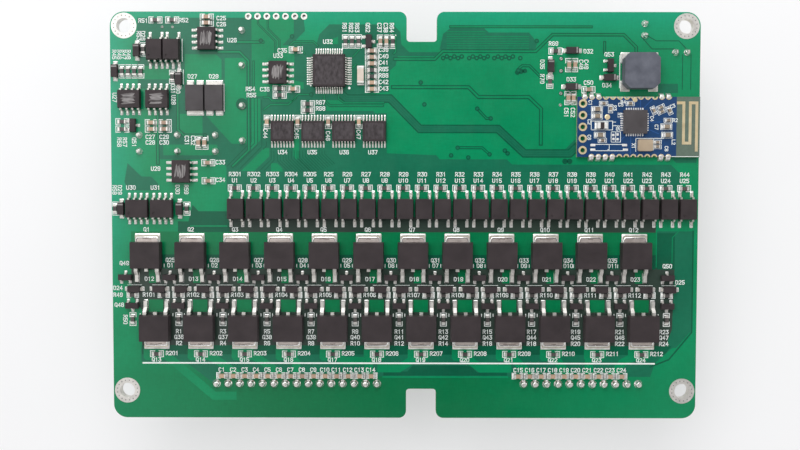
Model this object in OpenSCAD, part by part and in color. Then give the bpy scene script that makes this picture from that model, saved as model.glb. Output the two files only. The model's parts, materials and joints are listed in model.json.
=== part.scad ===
// Active balancer board: a populated circuit board that is screwed down by its four corner holes.
// The origin is the centre of the mounting-hole rectangle on the underside of the bare board.
// X runs along the long edge, Y towards the edge with the radio module, Z out of the component side.

/* [Board] */
// Thickness of the bare board
board_t = 1.6; // [1:0.1:2.4]
// Height of the mounting-hole rectangle
hole_rows = 79; // [79:1:95]
// Diameter of a mounting hole
hole_d = 3.2; // [2.4:0.1:3.6]
// Diameter of the tinned ring round a mounting hole
ring_d = 5.5; // [4.6:0.1:5.7]
// Thickness of a tinned land
land_t = 0.05; // [0.03:0.01:0.1]
// Mounting-hole centre to the side and top edges
hole_inset = 3; // [2.9:0.05:3.2]
// Lower mounting-hole centre to the bottom edge
foot_margin = 6; // [5.5:0.5:9]
// Radius of the board corners
corner_r = 3; // [1:0.5:5]
// Width of the notch in the top and bottom edges
notch_w = 6.5; // [4:0.5:7.5]
// Depth of the notches
notch_d = 6.4; // [3:0.2:6.6]
// Distance of the notches to the right of the middle
notch_x = 3.6; // [2:0.2:5]
// Radius inside the notches
notch_r = 0.7; // [0.3:0.1:1.5]
// Radius where a notch runs out into the edge
notch_lip_r = 1.6; // [0.5:0.1:2.5]

/* [Power transistors] */
// Width of a body
fet_w = 6.6; // [6.2:0.1:7]
// Length of a body
fet_l = 5.8; // [5.4:0.1:6.2]
// Height of a body
fet_h = 2.3; // [1.8:0.1:2.6]
// Free width between neighbouring bodies
fet_gap = 3; // [2.8:0.1:3.6]
// Width of the metal tab
tab_w = 5.1; // [4.6:0.1:5.8]
// Length of tab that stands out of the body
tab_out = 1.4; // [1:0.1:2.2]
// Thickness of the tab
tab_t = 0.5; // [0.4:0.05:0.6]
// Distance between the two outer leads
fet_lead_pitch = 4.57; // [4.4:0.01:4.8]
// Width of a lead
fet_lead_w = 0.76; // [0.6:0.02:0.9]
// Thickness of a lead
fet_lead_t = 0.5; // [0.4:0.05:0.6]
// Reach of a lead from the body
fet_reach = 2.9; // [2.4:0.1:3]
// Free strip between the facing lead tips of the two rows
tip_gap = 4.2; // [4.2:0.1:5]
// Sideways step of the lower row
row_step = 1.8; // [1.6:0.1:2]

/* [Optocouplers] */
// Width of a body
opto_w = 3.65; // [3.3:0.05:3.75]
// Length of a body
opto_l = 4.4; // [4:0.1:4.8]
// Height of a body
opto_h = 2; // [1.6:0.1:2.3]
// Free width between neighbouring bodies
opto_gap = 0.4; // [0.3:0.05:0.5]
// Distance across the lead tips
opto_span = 7; // [6.6:0.1:7.4]
// Distance between the two leads of a side
opto_pitch = 2.54; // [2.2:0.02:2.6]
// Width of a five-lead body
fast_opto_w = 3.5; // [3.2:0.05:3.6]

/* [Small transistors and diodes] */
// Width of a three-lead body
sot_w = 2.9; // [2.7:0.05:3]
// Depth of a three-lead body
sot_d = 1.3; // [1.1:0.05:1.5]
// Height of a three-lead body
sot_h = 1; // [0.8:0.05:1.2]
// Distance across the lead tips of a three-lead part
sot_span = 2.4; // [2.2:0.05:2.5]
// Length of a diode body
sod_l = 2.7; // [2.4:0.05:2.9]
// Width of a diode body
sod_w = 1.45; // [1.4:0.05:1.75]
// Height of a diode body
sod_h = 1.1; // [0.9:0.05:1.3]
// Distance across the lead tips of a diode
sod_span = 3.7; // [3.5:0.05:3.9]

/* [Chip parts] */
// Length of a chip resistor or capacitor
chip_l = 1.6; // [1.4:0.05:1.7]
// Width of a chip
chip_w = 0.8; // [0.6:0.05:0.85]
// Length of a metal end cap
chip_end = 0.3; // [0.2:0.05:0.4]
// Height of a chip resistor
res_h = 0.45; // [0.35:0.05:0.6]
// Height of a chip capacitor
cap_h = 0.8; // [0.6:0.05:0.95]

/* [Integrated circuits] */
// Width of an eight-lead body
soic_w = 3.9; // [3.7:0.05:4.1]
// Length of an eight-lead body
soic_l = 4.9; // [4.7:0.05:5.1]
// Height of an eight-lead body
soic_h = 1.5; // [1.3:0.05:1.7]
// Distance across the lead tips of an eight-lead part
soic_span = 6; // [5.8:0.05:6.3]
// Lead pitch of an eight-lead part
soic_pitch = 1.27; // [1.2:0.01:1.3]
// Width of a sixteen-lead body
tssop_w = 4.4; // [4.2:0.05:4.6]
// Length of a sixteen-lead body
tssop_l = 5; // [4.9:0.05:5.2]
// Height of a sixteen-lead body
tssop_h = 1; // [0.8:0.05:1.2]
// Distance across the lead tips of a sixteen-lead part
tssop_span = 6.4; // [6.2:0.05:6.8]
// Lead pitch of a sixteen-lead part
tssop_pitch = 0.65; // [0.6:0.01:0.66]
// Side of the square controller body
lqfp_w = 7; // [6.6:0.1:7.4]
// Height of the controller body
lqfp_h = 1.4; // [1:0.1:1.6]
// Distance across the controller's lead tips
lqfp_span = 9; // [8.6:0.1:9.4]
// Lead pitch of the controller
lqfp_pitch = 0.5; // [0.45:0.01:0.52]

/* [Rectifiers, buzzer and resonator] */
// Width of a rectifier body
rect_w = 4; // [3.8:0.05:4.2]
// Length of a rectifier body
rect_l = 5.6; // [5.2:0.1:5.8]
// Height of a rectifier body
rect_h = 1.1; // [0.9:0.05:1.4]
// Length of a rectifier tab outside the body
rect_out = 0.7; // [0.5:0.05:0.8]
// Side of the square buzzer case
buzzer_w = 7.5; // [7:0.1:8]
// Height of the buzzer case
buzzer_h = 2.6; // [2:0.1:3.5]
// Corner cut of the buzzer case
buzzer_cut = 1.1; // [0.8:0.1:1.5]
// Side of a buzzer corner pad
buzzer_pad = 1.6; // [1.5:0.05:2]
// Length of the resonator
reson_l = 3.4; // [3:0.1:3.8]
// Width of the resonator
reson_w = 1.4; // [1.2:0.05:1.6]
// Height of the resonator
reson_h = 1; // [0.8:0.05:1.3]

/* [Radio module] */
// Length of the module board
radio_l = 26.3; // [25.8:0.1:26.3]
// Width of the module board
radio_w = 12.9; // [12.5:0.1:13.2]
// Thickness of the module board
radio_t = 0.8; // [0.6:0.05:1.2]
// Pitch of the half holes along the module edges
castle_pitch = 1.5; // [1.4:0.01:1.52]
// Diameter of a half hole
castle_d = 0.7; // [0.5:0.05:0.8]
// Pitch of the row of plated holes
radio_hole_pitch = 2.5; // [2.4:0.02:2.6]
// Diameter of a plated hole
radio_hole_d = 1; // [0.8:0.05:1.1]
// Width of the antenna strip
antenna_w = 0.6; // [0.4:0.05:0.7]

/* [Wire headers] */
// Pin pitch of the headers
header_pitch = 2.5; // [2.4:0.02:2.54]
// Number of ways of the left header
left_ways = 15; // [10:1:15]
// Number of ways of the right header
right_ways = 11; // [6:1:11]
// Depth of a housing in front of the pin row
housing_front = 3.4; // [3.2:0.1:4]
// Depth of a housing behind the pin row
housing_back = 2.35; // [2.1:0.05:2.8]
// Length of a housing beyond its end pins
housing_end = 2.45; // [2.2:0.05:2.7]
// Height of a housing under the board
housing_h = 7; // [6:0.2:9]
// Wall of a housing
housing_wall = 0.7; // [0.5:0.05:0.9]
// Floor of a housing
housing_floor = 2; // [1.5:0.1:2.5]
// Side of a square pin
pin_w = 0.64; // [0.5:0.02:0.66]
// Length of pin above the board
pin_out = 1.2; // [1:0.1:1.8]
// Diameter of a drilled pin hole
pin_hole_d = 1; // [0.96:0.02:1.1]

/* [Capacitors] */
// Diameter of a storage capacitor
storage_d = 16; // [14:0.5:16.5]
// Length of a storage capacitor
storage_l = 26; // [20:1:36]
// Lead distance of a storage capacitor
storage_pitch = 7.5; // [6.5:0.1:8]
// Diameter of a storage capacitor's leads
storage_lead_d = 0.8; // [0.6:0.05:0.9]
// Diameter of a filter capacitor
filter_d = 8; // [6.3:0.1:8.2]
// Length of a filter capacitor
filter_l = 12; // [8:0.5:16]
// Lead distance of a filter capacitor
filter_pitch = 3.5; // [2.5:0.1:3.8]
// Diameter of a filter capacitor's leads
filter_lead_d = 0.6; // [0.5:0.05:0.7]
// Thickness of the plastic sleeve
sleeve_t = 0.15; // [0.1:0.05:0.3]

/* [Solder] */
// Foot radius of a joint
joint_r = 0.95; // [0.8:0.05:1.1]
// Height of a joint
joint_h = 0.9; // [0.6:0.05:1]
// Foot radius of a small joint
small_joint_r = 0.75; // [0.6:0.05:0.85]

/* [Hidden] */
$fn = 32;
columns = 12;
opto_count = 25;

// Clearances: close neighbours, ordinary neighbours, and a fit that is meant to touch
tight_gap = 0.15;
part_gap = 0.4;
fit_gap = 0.02;

// Board edges, worked out from the transistor columns and the mounting holes
fet_pitch = fet_w + fet_gap;
first_column = 7.7;
tail_strip = 13.7;
board_w = first_column + (columns - 1) * fet_pitch + tail_strip;
xl = -board_w / 2;
xr = board_w / 2;
yt = hole_rows / 2 + hole_inset;
yb = -hole_rows / 2 - foot_margin;
hole_x = board_w / 2 - hole_inset;
hole_y = hole_rows / 2;

// Places measured from the top left corner, the top right corner and the middle of the top edge
function tl(x, y) = [xl + x, yt - y];
function tr(x, y) = [xr - x, yt - y];
function tc(x, y) = [x, yt - y];

// Transistor rows, mirrored about the line between their lead tips
channel_y = yb + 27.7;
fet_row = tip_gap / 2 + fet_reach + fet_l / 2;
upper_y = channel_y + fet_row;
lower_y = channel_y - fet_row;
tab_end = fet_l / 2 + tab_out;
function upper_x(i) = xl + first_column + i * fet_pitch;
function lower_x(i) = upper_x(i) + row_step;

// Small parts between the rows; the first and the last group stand a little further out
diode_y = channel_y + 0.5;
gate_y = diode_y - sod_w / 2 - tight_gap - chip_w / 2;
function group_x(i) = upper_x(i) - 2.95 - (i == 0 ? 0.4 : 0) + (i == columns ? 0.5 : 0);
function diode_step(i) = i == 0 ? -0.6 : i == 2 * columns ? 0.3 : 0;
function diode_x(i) = upper_x(0) - 2.3 + i * fet_pitch / 2 + diode_step(i);

// Seam of a power transistor, where its leads come out
fet_seam = tab_t + fet_lead_t;

// Optocoupler row, counted from its right end, and the parts beside its left end
opto_step = opto_w + opto_gap;
opto_y = upper_y + tab_end + 5.75;
opto_seam = opto_h / 2;
function opto_x(i) = xr - 2.7 - (opto_count - 1 - i) * opto_step;
side_res_x = xl + 0.35 + chip_w / 2;
side_diode_x = side_res_x + chip_w / 2 + 2 * tight_gap + sod_w / 2;
side_soic_x = side_diode_x + sod_w / 2 + part_gap + soic_l / 2;
side_soic2_x = side_soic_x + soic_l + part_gap;
side_diode2_x = side_soic2_x + soic_l / 2 + part_gap + tight_gap + sod_w / 2;
side_res2_x = side_diode2_x + sod_w / 2 + part_gap + chip_w / 2;

// Fast optocouplers in the top left corner and the two parts beside them
fast_x = xl + 9.95;
fast_x2 = fast_x + fast_opto_w + tight_gap;
fast_y = yt - 8.3;
fast_res_x = fast_x - fast_opto_w / 2 - 1.6 * part_gap - chip_w / 2;
fast_diode_x = fast_res_x - chip_w / 2 - tight_gap - sod_w / 2;

// Left edge: a diode and four resistors in a row, and two eight-lead circuits below them
edge_diode_x = xl + part_gap + sod_w / 2;
array_x = edge_diode_x + sod_w / 2 + 2 * tight_gap + chip_w / 2;
array_step = chip_w + 0.55;
edge_soic_x = xl + 1.85 + soic_l / 2;
edge_soic2_x = edge_soic_x + soic_l + 1.1;

// Interface circuit with two capacitors above it
iface = tl(21, 5.9);
iface_cap_y = iface.y + soic_l / 2 + tight_gap + part_gap + chip_w / 2;
iface_cap2_y = iface_cap_y + chip_w + 0.5;

// Four sixteen-lead switches with a capacitor at the left of each
tssop_step = tssop_l + chip_w + 2 * part_gap;
tssop_y = yt - 25.6;
function tssop_x(i) = -26.4 + i * tssop_step;

// Rectifier pair, lone diode with its resistor, and the column of chips beside the controller
rect_y = yt - 18.45;
rect_x = xl + 18.3;
rect_x2 = rect_x + rect_w + tight_gap;
lone_diode = tl(14.85, 14.35);
lone_res_x = lone_diode.x - sod_w / 2 - 2 * tight_gap - chip_w / 2;
column_step = chip_w + 0.56;
function column_y(i) = yt - 8.4 - i * column_step;

// Wire headers as [centre of the pin row, turn, ways], and the capacitor chains between their pins
header_y = yb + 7.5;
LEFT_HEADER = [[xl + 40, header_y], 0, left_ways];
RIGHT_HEADER = [[xr - 25, header_y], 0, right_ways];
PROBE_HEADERS = [[tr(12, 3.7), 90, 2], [tr(4.1, 8.6), 180, 2]];
HEADERS = concat([LEFT_HEADER, RIGHT_HEADER], PROBE_HEADERS);
chain_y = header_y + joint_r + part_gap + chip_w / 2;
function pin_x(h, i) = (i - (h[2] - 1) / 2) * header_pitch;
function chain_x(h, i) = h[0].x + pin_x(h, i) + header_pitch / 2;

// Lower left corner of the radio module, and the capacitor beside its left end
radio_x = xr - 0.2 - radio_l;
radio_y = yt - 18.2 - radio_w;
radio_cap_x = radio_x - part_gap - chip_w / 2;

// Places of parts as [centre, turn]; a package has its leads along +Y and -Y before it is turned
SOIC_PLACES = [
    [iface, 90],
    [tc(-27.3, 13.1), 90],
    [tl(15.3, 34.3), 90],
    [[edge_soic_x, yt - 18.8], 0],
    [[edge_soic2_x, yt - 18.8], 0],
    [[side_soic_x, opto_y], 0],
    [[side_soic2_x, opto_y], 0]
];
LQFP_PLACE = tc(-16.3, 12.7);
SOT_PLACES = concat(
    [for (i = [0 : columns - 1]) [[upper_x(i) - fet_pitch / 2, channel_y + 3.05], 0]],
    [[[upper_x(columns - 1) + 7.15, channel_y + 3.05], 0]],
    [for (i = [0 : columns]) [[group_x(i), channel_y - 3.1], 180]],
    [[tl(4.9, 24.4), -90], [tc(-7.8, 6.4), -90], [tr(19.4, 11.45), -90]]
);
SOD_PLACES = concat(
    [for (i = [0 : 2 * columns]) [[diode_x(i), diode_y], 0]],
    [
        [[edge_diode_x, yt - 12.75], 90],
        [[fast_diode_x, yt - 8.35], 90],
        [lone_diode, 90],
        [[side_diode_x, opto_y], 90],
        [[side_diode2_x, opto_y], 90],
        [tr(27.6, 8.3), 0],
        [tr(32.2, 11.6), 90],
        [tr(27.7, 16), 0],
        [tr(19.5, 14.05), 0]
    ]
);
RES_PLACES = concat(
    [for (i = [0 : opto_count - 1]) [[opto_x(i) - 0.4, opto_y + opto_span / 2 + 1], 0]],
    [for (i = [0 : columns]) [[group_x(i), gate_y], 0]],
    [for (i = [0 : columns - 1]) [[upper_x(i) + 3.4, gate_y], 0]],
    [for (i = [0 : columns]) [[group_x(i), channel_y - 6.1], 90]],
    [for (i = [0 : columns - 1]) [[lower_x(i), lower_y - tab_end - 1.5], 0]],
    [for (i = [0 : 3]) [[array_x + i * array_step, yt - 12.8], 90]],
    [for (i = [0 : 2]) [tc(-12.8 + i * (chip_w + 0.6), 6.35), 90]],
    [for (i = [3, 4]) [[-7.1, column_y(i)], 0]],
    [
        [tl(9.85, 1.8), 0],
        [tl(13.45, 1.8), 0],
        [[fast_res_x, yt - 8.1], 90],
        [[lone_res_x, yt - 13.95], 90],
        [tl(2.5, 23.6), 0],
        [tl(2.5, 25.2), 0],
        [[side_res_x, opto_y], 90],
        [[side_res2_x, opto_y], 90],
        [tc(-2.65, 6.4), 90],
        [tc(-27, 16.45), 0],
        [tc(-27, 17.85), 0],
        [tc(-20.95, 19.7), 0],
        [tc(-20.95, 21.1), 0],
        [tr(31.15, 8.35), 0],
        [tr(32.3, 14.9), 90]
    ]
);
CAP_PLACES = concat(
    [for (i = [0 : left_ways - 2]) [[chain_x(LEFT_HEADER, i), chain_y], 0]],
    [for (i = [0 : right_ways - 2]) [[chain_x(RIGHT_HEADER, i) - header_pitch, chain_y], 0]],
    [for (i = [0 : 3]) [[tssop_x(i) - tssop_step / 2, tssop_y + 2], 90]],
    [for (i = [0, 1, 2, 5, 6]) [[-7.1, column_y(i)], 0]],
    [for (x = [8.85, 11.65], y = [23.8, 25.2]) [tl(x, y), 0]],
    [
        [[iface.x - 0.1, iface_cap_y], 0],
        [[iface.x - 0.1, iface_cap2_y], 0],
        [tl(19, 28.1), 90],
        [tl(20.3, 28.1), 90],
        [tl(21, 32.4), 0],
        [tl(21.05, 36.3), 0],
        [tc(-23.5, 8.15), 0],
        [tc(-5.3, 6.4), 90],
        [tc(-4, 6.4), 90],
        [tc(-24.1, 16.55), 0],
        [tr(28.3, 11.35), 90],
        [tr(27, 11.35), 90],
        [[radio_cap_x - chip_w - 2 * tight_gap, yt - 18.4], 90],
        [[radio_cap_x, yt - 18.4], 90],
        [[radio_x + 2.5, radio_y + radio_w + 3 * part_gap + chip_w / 2], 0]
    ]
);
RESON_PLACE = tc(-9.55, 13.6);
BUZZER_PLACE = tr(13.1, 12.8);

// Row of plated holes of an unfitted header, near the top edge
spare_ways = 7;
spare_pitch = 2;
spare_ring_d = 1.4;
spare_hole_d = 0.75;
function spare_at(i) = tc(-27.7 + (i - (spare_ways - 1) / 2) * spare_pitch, 1);

// Storage capacitors lie side by side under the board, the upper one level with the top edge
storage_joint_x = xl + 28.35;
storage_seal_x = storage_joint_x + 3.4;
storage_bend_r = 1.2;
storage_z = -storage_d / 2 - 0.2;
storage_y = yt - storage_d / 2 + 0.3;
function storage_at(i) = [storage_joint_x, storage_y - i * (storage_d + tight_gap)];
STORAGE_LEADS = [for (i = [0, 1], s = [-1, 1]) storage_at(i) + [0, s * storage_pitch / 2]];

// Filter capacitors stand in a row under the board
filter_y = yt - 28.2;
function filter_at(i) = [xl + 2.1 + filter_d / 2 + i * (filter_d + 0.2), filter_y];
FILTER_LEADS = [for (i = [0 : 2], s = [-1, 1]) filter_at(i) + [0, s * filter_pitch / 2]];

// Section of a capacitor: crimped can, rubber seal in its mouth, sleeve rolled over its blind end
can_edge = 0.8;
seal_t = 1;
sleeve_lip = 1.4;
sleeve_start = 0.4;
function can_r(d) = d / 2 - sleeve_t - fit_gap;
function seal_r(d) = can_r(d) - can_edge;

// Radio module: the soldered half holes, and the parts on it measured from the middle of its left end
radio_mask_l = 21.3;
castle_x = 1.6;
castle_land = 0.3;
castle_top = 13;
castle_low_first = 1;
SOLDERED_TOP = [0, 1, 2, 11, 12];
SOLDERED_LOW = [1, 2, 3, 4, 11, 12];
radio_hole_x = 1.2;
radio_hole_ring = 0.4;
radio_chip_w = 5;
radio_chip_h = 0.85;
radio_chip_at = [12.3, 1.05];
radio_crystal = [3.2, 2.5, 0.7];
radio_crystal_at = [14.5, -3.95];
small_part = [1, 0.5, 0.4];
middle_part = [1.6, 0.8, 0.7];
large_part = [2, 1.25, 0.9];
RADIO_CHIPS = [
    [5.6, 5, 0, small_part], [4.2, 3.75, 0, middle_part], [4.2, 2.3, 0, middle_part],
    [7.1, 3.9, 90, small_part],
    [5.2, 0.25, 0, large_part], [4.85, -1.75, 0, middle_part], [5.4, -2.9, 0, small_part],
    [11.3, 5, 0, small_part], [16.35, 3.5, 115, small_part], [17.85, 4.2, 25, small_part],
    [18.05, 3.3, 25, small_part], [19.75, 3.5, 115, small_part], [19.5, 1.4, 0, small_part],
    [19.1, 0.05, 0, middle_part], [19.3, -1.75, 0, middle_part],
    [17.2, -3.3, 0, small_part], [17.2, -4.2, 0, small_part]
];

// Shapes that repeat

// Puts a part on the component side of the board
module place(p, turn = 0) {
    translate([p.x, p.y, board_t]) rotate(turn) children();
}

// Repeats a row of leads on the opposite side
module both_sides() {
    children();
    rotate(180) children();
}

// Half section of a moulded package: drafted above and below a flat band where the leads come out
function moulded_section(w, base, top, seam, band, draft) = [
    [-w / 2 + draft, base], [w / 2 - draft, base],
    [w / 2, seam - band / 2], [w / 2, seam + band / 2],
    [w / 2 - draft, top], [-w / 2 + draft, top],
    [-w / 2, seam + band / 2], [-w / 2, seam - band / 2]
];

// Moulded package, w along X and l along Y, drafted on all four sides
module moulded(w, l, base, top, seam, band, draft = 0.1) {
    intersection() {
        rotate([90, 0, 0])
            linear_extrude(l, center = true)
                polygon(moulded_section(w, base, top, seam, band, draft));
        rotate([90, 0, 90])
            linear_extrude(w, center = true)
                polygon(moulded_section(l, base, top, seam, band, draft));
    }
}

// Gull-wing lead that leaves a wall at the seam height, runs out along +Y and stands on its foot
module gull_lead(reach, seam, w, t, foot, shoulder) {
    heel = reach - foot;
    rotate([90, 0, 90])
        linear_extrude(w, center = true)
            polygon([
                [0, seam - t / 2], [0, seam + t / 2], [shoulder, seam + t / 2], [heel, t],
                [reach, t], [reach, 0], [heel - t, 0], [shoulder - t, seam - t / 2]
            ]);
}

// Row of gull-wing leads along the +Y side of a package
module lead_row(n, pitch, wall, reach, seam, w, t, foot, shoulder) {
    for (i = [0 : n - 1])
        translate([(i - (n - 1) / 2) * pitch, wall, 0])
            gull_lead(reach, seam, w, t, foot, shoulder);
}

// Moulded top with a pin-one dimple near the corner at -X, -Y
module dimpled(w, l, top, d) {
    difference() {
        children();
        translate([-w / 2 + 1.6 * d, -l / 2 + 1.6 * d, top - 0.1]) cylinder(d = d, h = 1);
    }
}

// Rectangle with round corners
module round_rect(w, l, r) {
    square([w - 2 * r, l], center = true);
    square([w, l - 2 * r], center = true);
    for (x = [-1, 1], y = [-1, 1])
        translate([x * (w / 2 - r), y * (l / 2 - r)]) circle(r);
}

// Ceramic middle of a chip part and its two metal ends
module chip_middle(l, w, h, end) {
    translate([-l / 2 + end, -w / 2 + fit_gap, fit_gap])
        cube([l - 2 * end, w - 2 * fit_gap, h - 2 * fit_gap]);
}

module chip_ends(l, w, h, end) {
    for (s = [-1, 1])
        translate([s * (l - end) / 2 - end / 2, -w / 2, 0]) cube([end, w, h]);
}

// Board

// Notch that opens at y = 0 towards +Y, with round inner corners and round lips
module edge_notch() {
    translate([0, 1 - notch_d / 2]) round_rect(notch_w, notch_d + 2, notch_r);
    for (s = [0, 1])
        mirror([s, 0])
            translate([notch_w / 2 - 0.01, -notch_lip_r])
                difference() {
                    square([notch_lip_r + 0.01, notch_lip_r + 1]);
                    translate([notch_lip_r + 0.01, 0]) circle(notch_lip_r);
                }
}

module pcb() {
    color("seagreen")
        difference() {
            linear_extrude(board_t)
                difference() {
                    translate([0, (yt + yb) / 2]) round_rect(board_w, yt - yb, corner_r);
                    translate([notch_x, yt]) edge_notch();
                    translate([notch_x, yb]) rotate(180) edge_notch();
                }
            for (x = [-1, 1], y = [-1, 1])
                translate([x * hole_x, y * hole_y, -1]) cylinder(d = hole_d + 2 * land_t, h = board_t + 2);
            for (h = HEADERS)
                translate(h[0])
                    rotate(h[1])
                        for (i = [0 : h[2] - 1])
                            translate([pin_x(h, i), 0, -1]) cylinder(d = pin_hole_d, h = board_t + 2);
            for (p = concat(STORAGE_LEADS, FILTER_LEADS))
                translate([p.x, p.y, -1]) cylinder(d = pin_hole_d, h = board_t + 2);
            for (i = [0 : spare_ways - 1])
                translate([spare_at(i).x, spare_at(i).y, -1])
                    cylinder(d = spare_hole_d + 2 * land_t, h = board_t + 2);
        }
}

// Plated hole: a ring on both faces of the board, joined by a barrel through it
module plated_hole(ring, hole) {
    difference() {
        union() {
            translate([0, 0, board_t]) cylinder(d = ring, h = land_t);
            translate([0, 0, -land_t]) cylinder(d = ring, h = land_t);
            cylinder(d = hole + 2 * land_t, h = board_t);
        }
        translate([0, 0, -1]) cylinder(d = hole, h = board_t + 2);
    }
}

module mounting_lands() {
    color("gainsboro")
        for (x = [-1, 1], y = [-1, 1])
            translate([x * hole_x, y * hole_y, 0]) plated_hole(ring_d, hole_d);
}

module spare_header_lands() {
    color("gainsboro")
        for (i = [0 : spare_ways - 1])
            translate([spare_at(i).x, spare_at(i).y, 0]) plated_hole(spare_ring_d, spare_hole_d);
}

// Optocouplers

module opto_lead_row(n, pitch) {
    lead_row(n, pitch, opto_l / 2, (opto_span - opto_l) / 2, opto_seam, 0.4, 0.2, 0.6, 0.35);
}

module opto_bodies() {
    color("dimgray")
        for (i = [0 : opto_count - 1])
            place([opto_x(i), opto_y])
                dimpled(opto_w, opto_l, opto_h, 0.5)
                    moulded(opto_w, opto_l, 0.1, opto_h, opto_seam, 0.2, 0.12);
}

module opto_leads() {
    color("silver")
        for (i = [0 : opto_count - 1])
            place([opto_x(i), opto_y]) both_sides() opto_lead_row(2, opto_pitch);
}

module fast_opto_bodies() {
    color("dimgray")
        for (x = [fast_x, fast_x2])
            place([x, fast_y])
                dimpled(fast_opto_w, opto_l, opto_h, 0.5)
                    moulded(fast_opto_w, opto_l, 0.1, opto_h, opto_seam, 0.2, 0.12);
}

module fast_opto_leads() {
    color("silver")
        for (x = [fast_x, fast_x2])
            place([x, fast_y]) {
                opto_lead_row(2, opto_pitch);
                rotate(180) opto_lead_row(3, opto_pitch / 2);
            }
}

// Power transistors: the tab points along +Y and runs on under the body

module tab_plate() {
    inner = -fet_l / 2 + 1.6;
    outer = fet_l / 2 + tab_out;
    linear_extrude(tab_t)
        translate([0, (inner + outer) / 2]) round_rect(tab_w, outer - inner, 0.6);
}

module fet_body() {
    difference() {
        moulded(fet_w, fet_l, 0, fet_h, fet_seam, fet_lead_t, 0.16);
        tab_plate();
    }
}

// Two formed leads and the short stub between them
module fet_lead_set() {
    rotate(180) {
        lead_row(2, fet_lead_pitch, fet_l / 2, fet_reach, fet_seam, fet_lead_w, fet_lead_t, 1.4, 0.6);
        translate([-fet_lead_w / 2, fet_l / 2, fet_seam - fet_lead_t / 2])
            cube([fet_lead_w, 0.6, fet_lead_t]);
    }
}

module upper_row() {
    for (i = [0 : columns - 1])
        place([upper_x(i), upper_y]) children();
}

module lower_row() {
    for (i = [0 : columns - 1])
        place([lower_x(i), lower_y], 180) children();
}

module upper_mosfet_bodies() {
    color("dimgray") upper_row() fet_body();
}

module upper_mosfet_tabs() {
    color("silver") upper_row() tab_plate();
}

module upper_mosfet_leads() {
    color("silver") upper_row() fet_lead_set();
}

module lower_mosfet_bodies() {
    color("dimgray") lower_row() fet_body();
}

module lower_mosfet_tabs() {
    color("silver") lower_row() tab_plate();
}

module lower_mosfet_leads() {
    color("silver") lower_row() fet_lead_set();
}

// Small transistors and diodes

sot_seam = sot_h / 2;
sod_seam = sod_h / 2;

module sot_lead_row(n) {
    lead_row(n, 1.9, sot_d / 2, (sot_span - sot_d) / 2, sot_seam, 0.42, 0.12, 0.3, 0.15);
}

module transistor_bodies() {
    color("dimgray")
        for (p = SOT_PLACES)
            place(p[0], p[1]) moulded(sot_w, sot_d, 0.05, sot_h, sot_seam, 0.12, 0.08);
}

module transistor_leads() {
    color("silver")
        for (p = SOT_PLACES)
            place(p[0], p[1]) {
                sot_lead_row(1);
                rotate(180) sot_lead_row(2);
            }
}

module diode_bodies() {
    color("dimgray")
        for (p = SOD_PLACES)
            place(p[0], p[1]) moulded(sod_l, sod_w, 0.05, sod_h, sod_seam, 0.12, 0.08);
}

module diode_leads() {
    color("silver")
        for (p = SOD_PLACES)
            place(p[0], p[1] + 90)
                both_sides()
                    lead_row(1, 0, sod_l / 2, (sod_span - sod_l) / 2, sod_seam, 0.7, 0.12, 0.3, 0.14);
}

// Chip parts

module resistor_bodies() {
    color("black")
        for (p = RES_PLACES)
            place(p[0], p[1]) chip_middle(chip_l, chip_w, res_h, chip_end);
}

module resistor_ends() {
    color("gainsboro")
        for (p = RES_PLACES)
            place(p[0], p[1]) chip_ends(chip_l, chip_w, res_h, chip_end);
}

module capacitor_bodies() {
    color("rosybrown")
        for (p = CAP_PLACES)
            place(p[0], p[1]) chip_middle(chip_l, chip_w, cap_h, chip_end);
}

module capacitor_ends() {
    color("gainsboro")
        for (p = CAP_PLACES)
            place(p[0], p[1]) chip_ends(chip_l, chip_w, cap_h, chip_end);
}

// Integrated circuits

soic_seam = soic_h / 2 + 0.05;
tssop_seam = tssop_h / 2 + 0.05;
lqfp_seam = lqfp_h / 2 + 0.05;

module soic_bodies() {
    color("dimgray")
        for (p = SOIC_PLACES)
            place(p[0], p[1])
                dimpled(soic_l, soic_w, soic_h, 0.6)
                    moulded(soic_l, soic_w, 0.1, soic_h, soic_seam, 0.2, 0.12);
}

module soic_leads() {
    color("silver")
        for (p = SOIC_PLACES)
            place(p[0], p[1])
                both_sides()
                    lead_row(4, soic_pitch, soic_w / 2, (soic_span - soic_w) / 2, soic_seam,
                        0.42, 0.2, 0.5, 0.3);
}

module tssop_bodies() {
    color("dimgray")
        for (i = [0 : 3])
            place([tssop_x(i), tssop_y])
                dimpled(tssop_l, tssop_w, tssop_h, 0.6)
                    moulded(tssop_l, tssop_w, 0.1, tssop_h, tssop_seam, 0.15, 0.1);
}

module tssop_leads() {
    color("silver")
        for (i = [0 : 3])
            place([tssop_x(i), tssop_y])
                both_sides()
                    lead_row(8, tssop_pitch, tssop_w / 2, (tssop_span - tssop_w) / 2, tssop_seam,
                        0.25, 0.15, 0.55, 0.25);
}

module controller_body() {
    color("dimgray")
        place(LQFP_PLACE)
            dimpled(lqfp_w, lqfp_w, lqfp_h, 0.6)
                moulded(lqfp_w, lqfp_w, 0.1, lqfp_h, lqfp_seam, 0.15, 0.18);
}

module controller_leads() {
    color("silver")
        place(LQFP_PLACE)
            for (turn = [0 : 90 : 270])
                rotate(turn)
                    lead_row(12, lqfp_pitch, lqfp_w / 2, (lqfp_span - lqfp_w) / 2, lqfp_seam,
                        0.22, 0.15, 0.55, 0.25);
}

// Rectifiers: one wide tab at one end, two narrow ones at the other

rect_tab_t = 0.25;

module each_rectifier() {
    place([rect_x, rect_y]) children();
    place([rect_x2, rect_y], 180) children();
}

module rectifier_bodies() {
    color("dimgray")
        each_rectifier() moulded(rect_w, rect_l, 0, rect_h, rect_tab_t / 2, rect_tab_t, 0.12);
}

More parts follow.
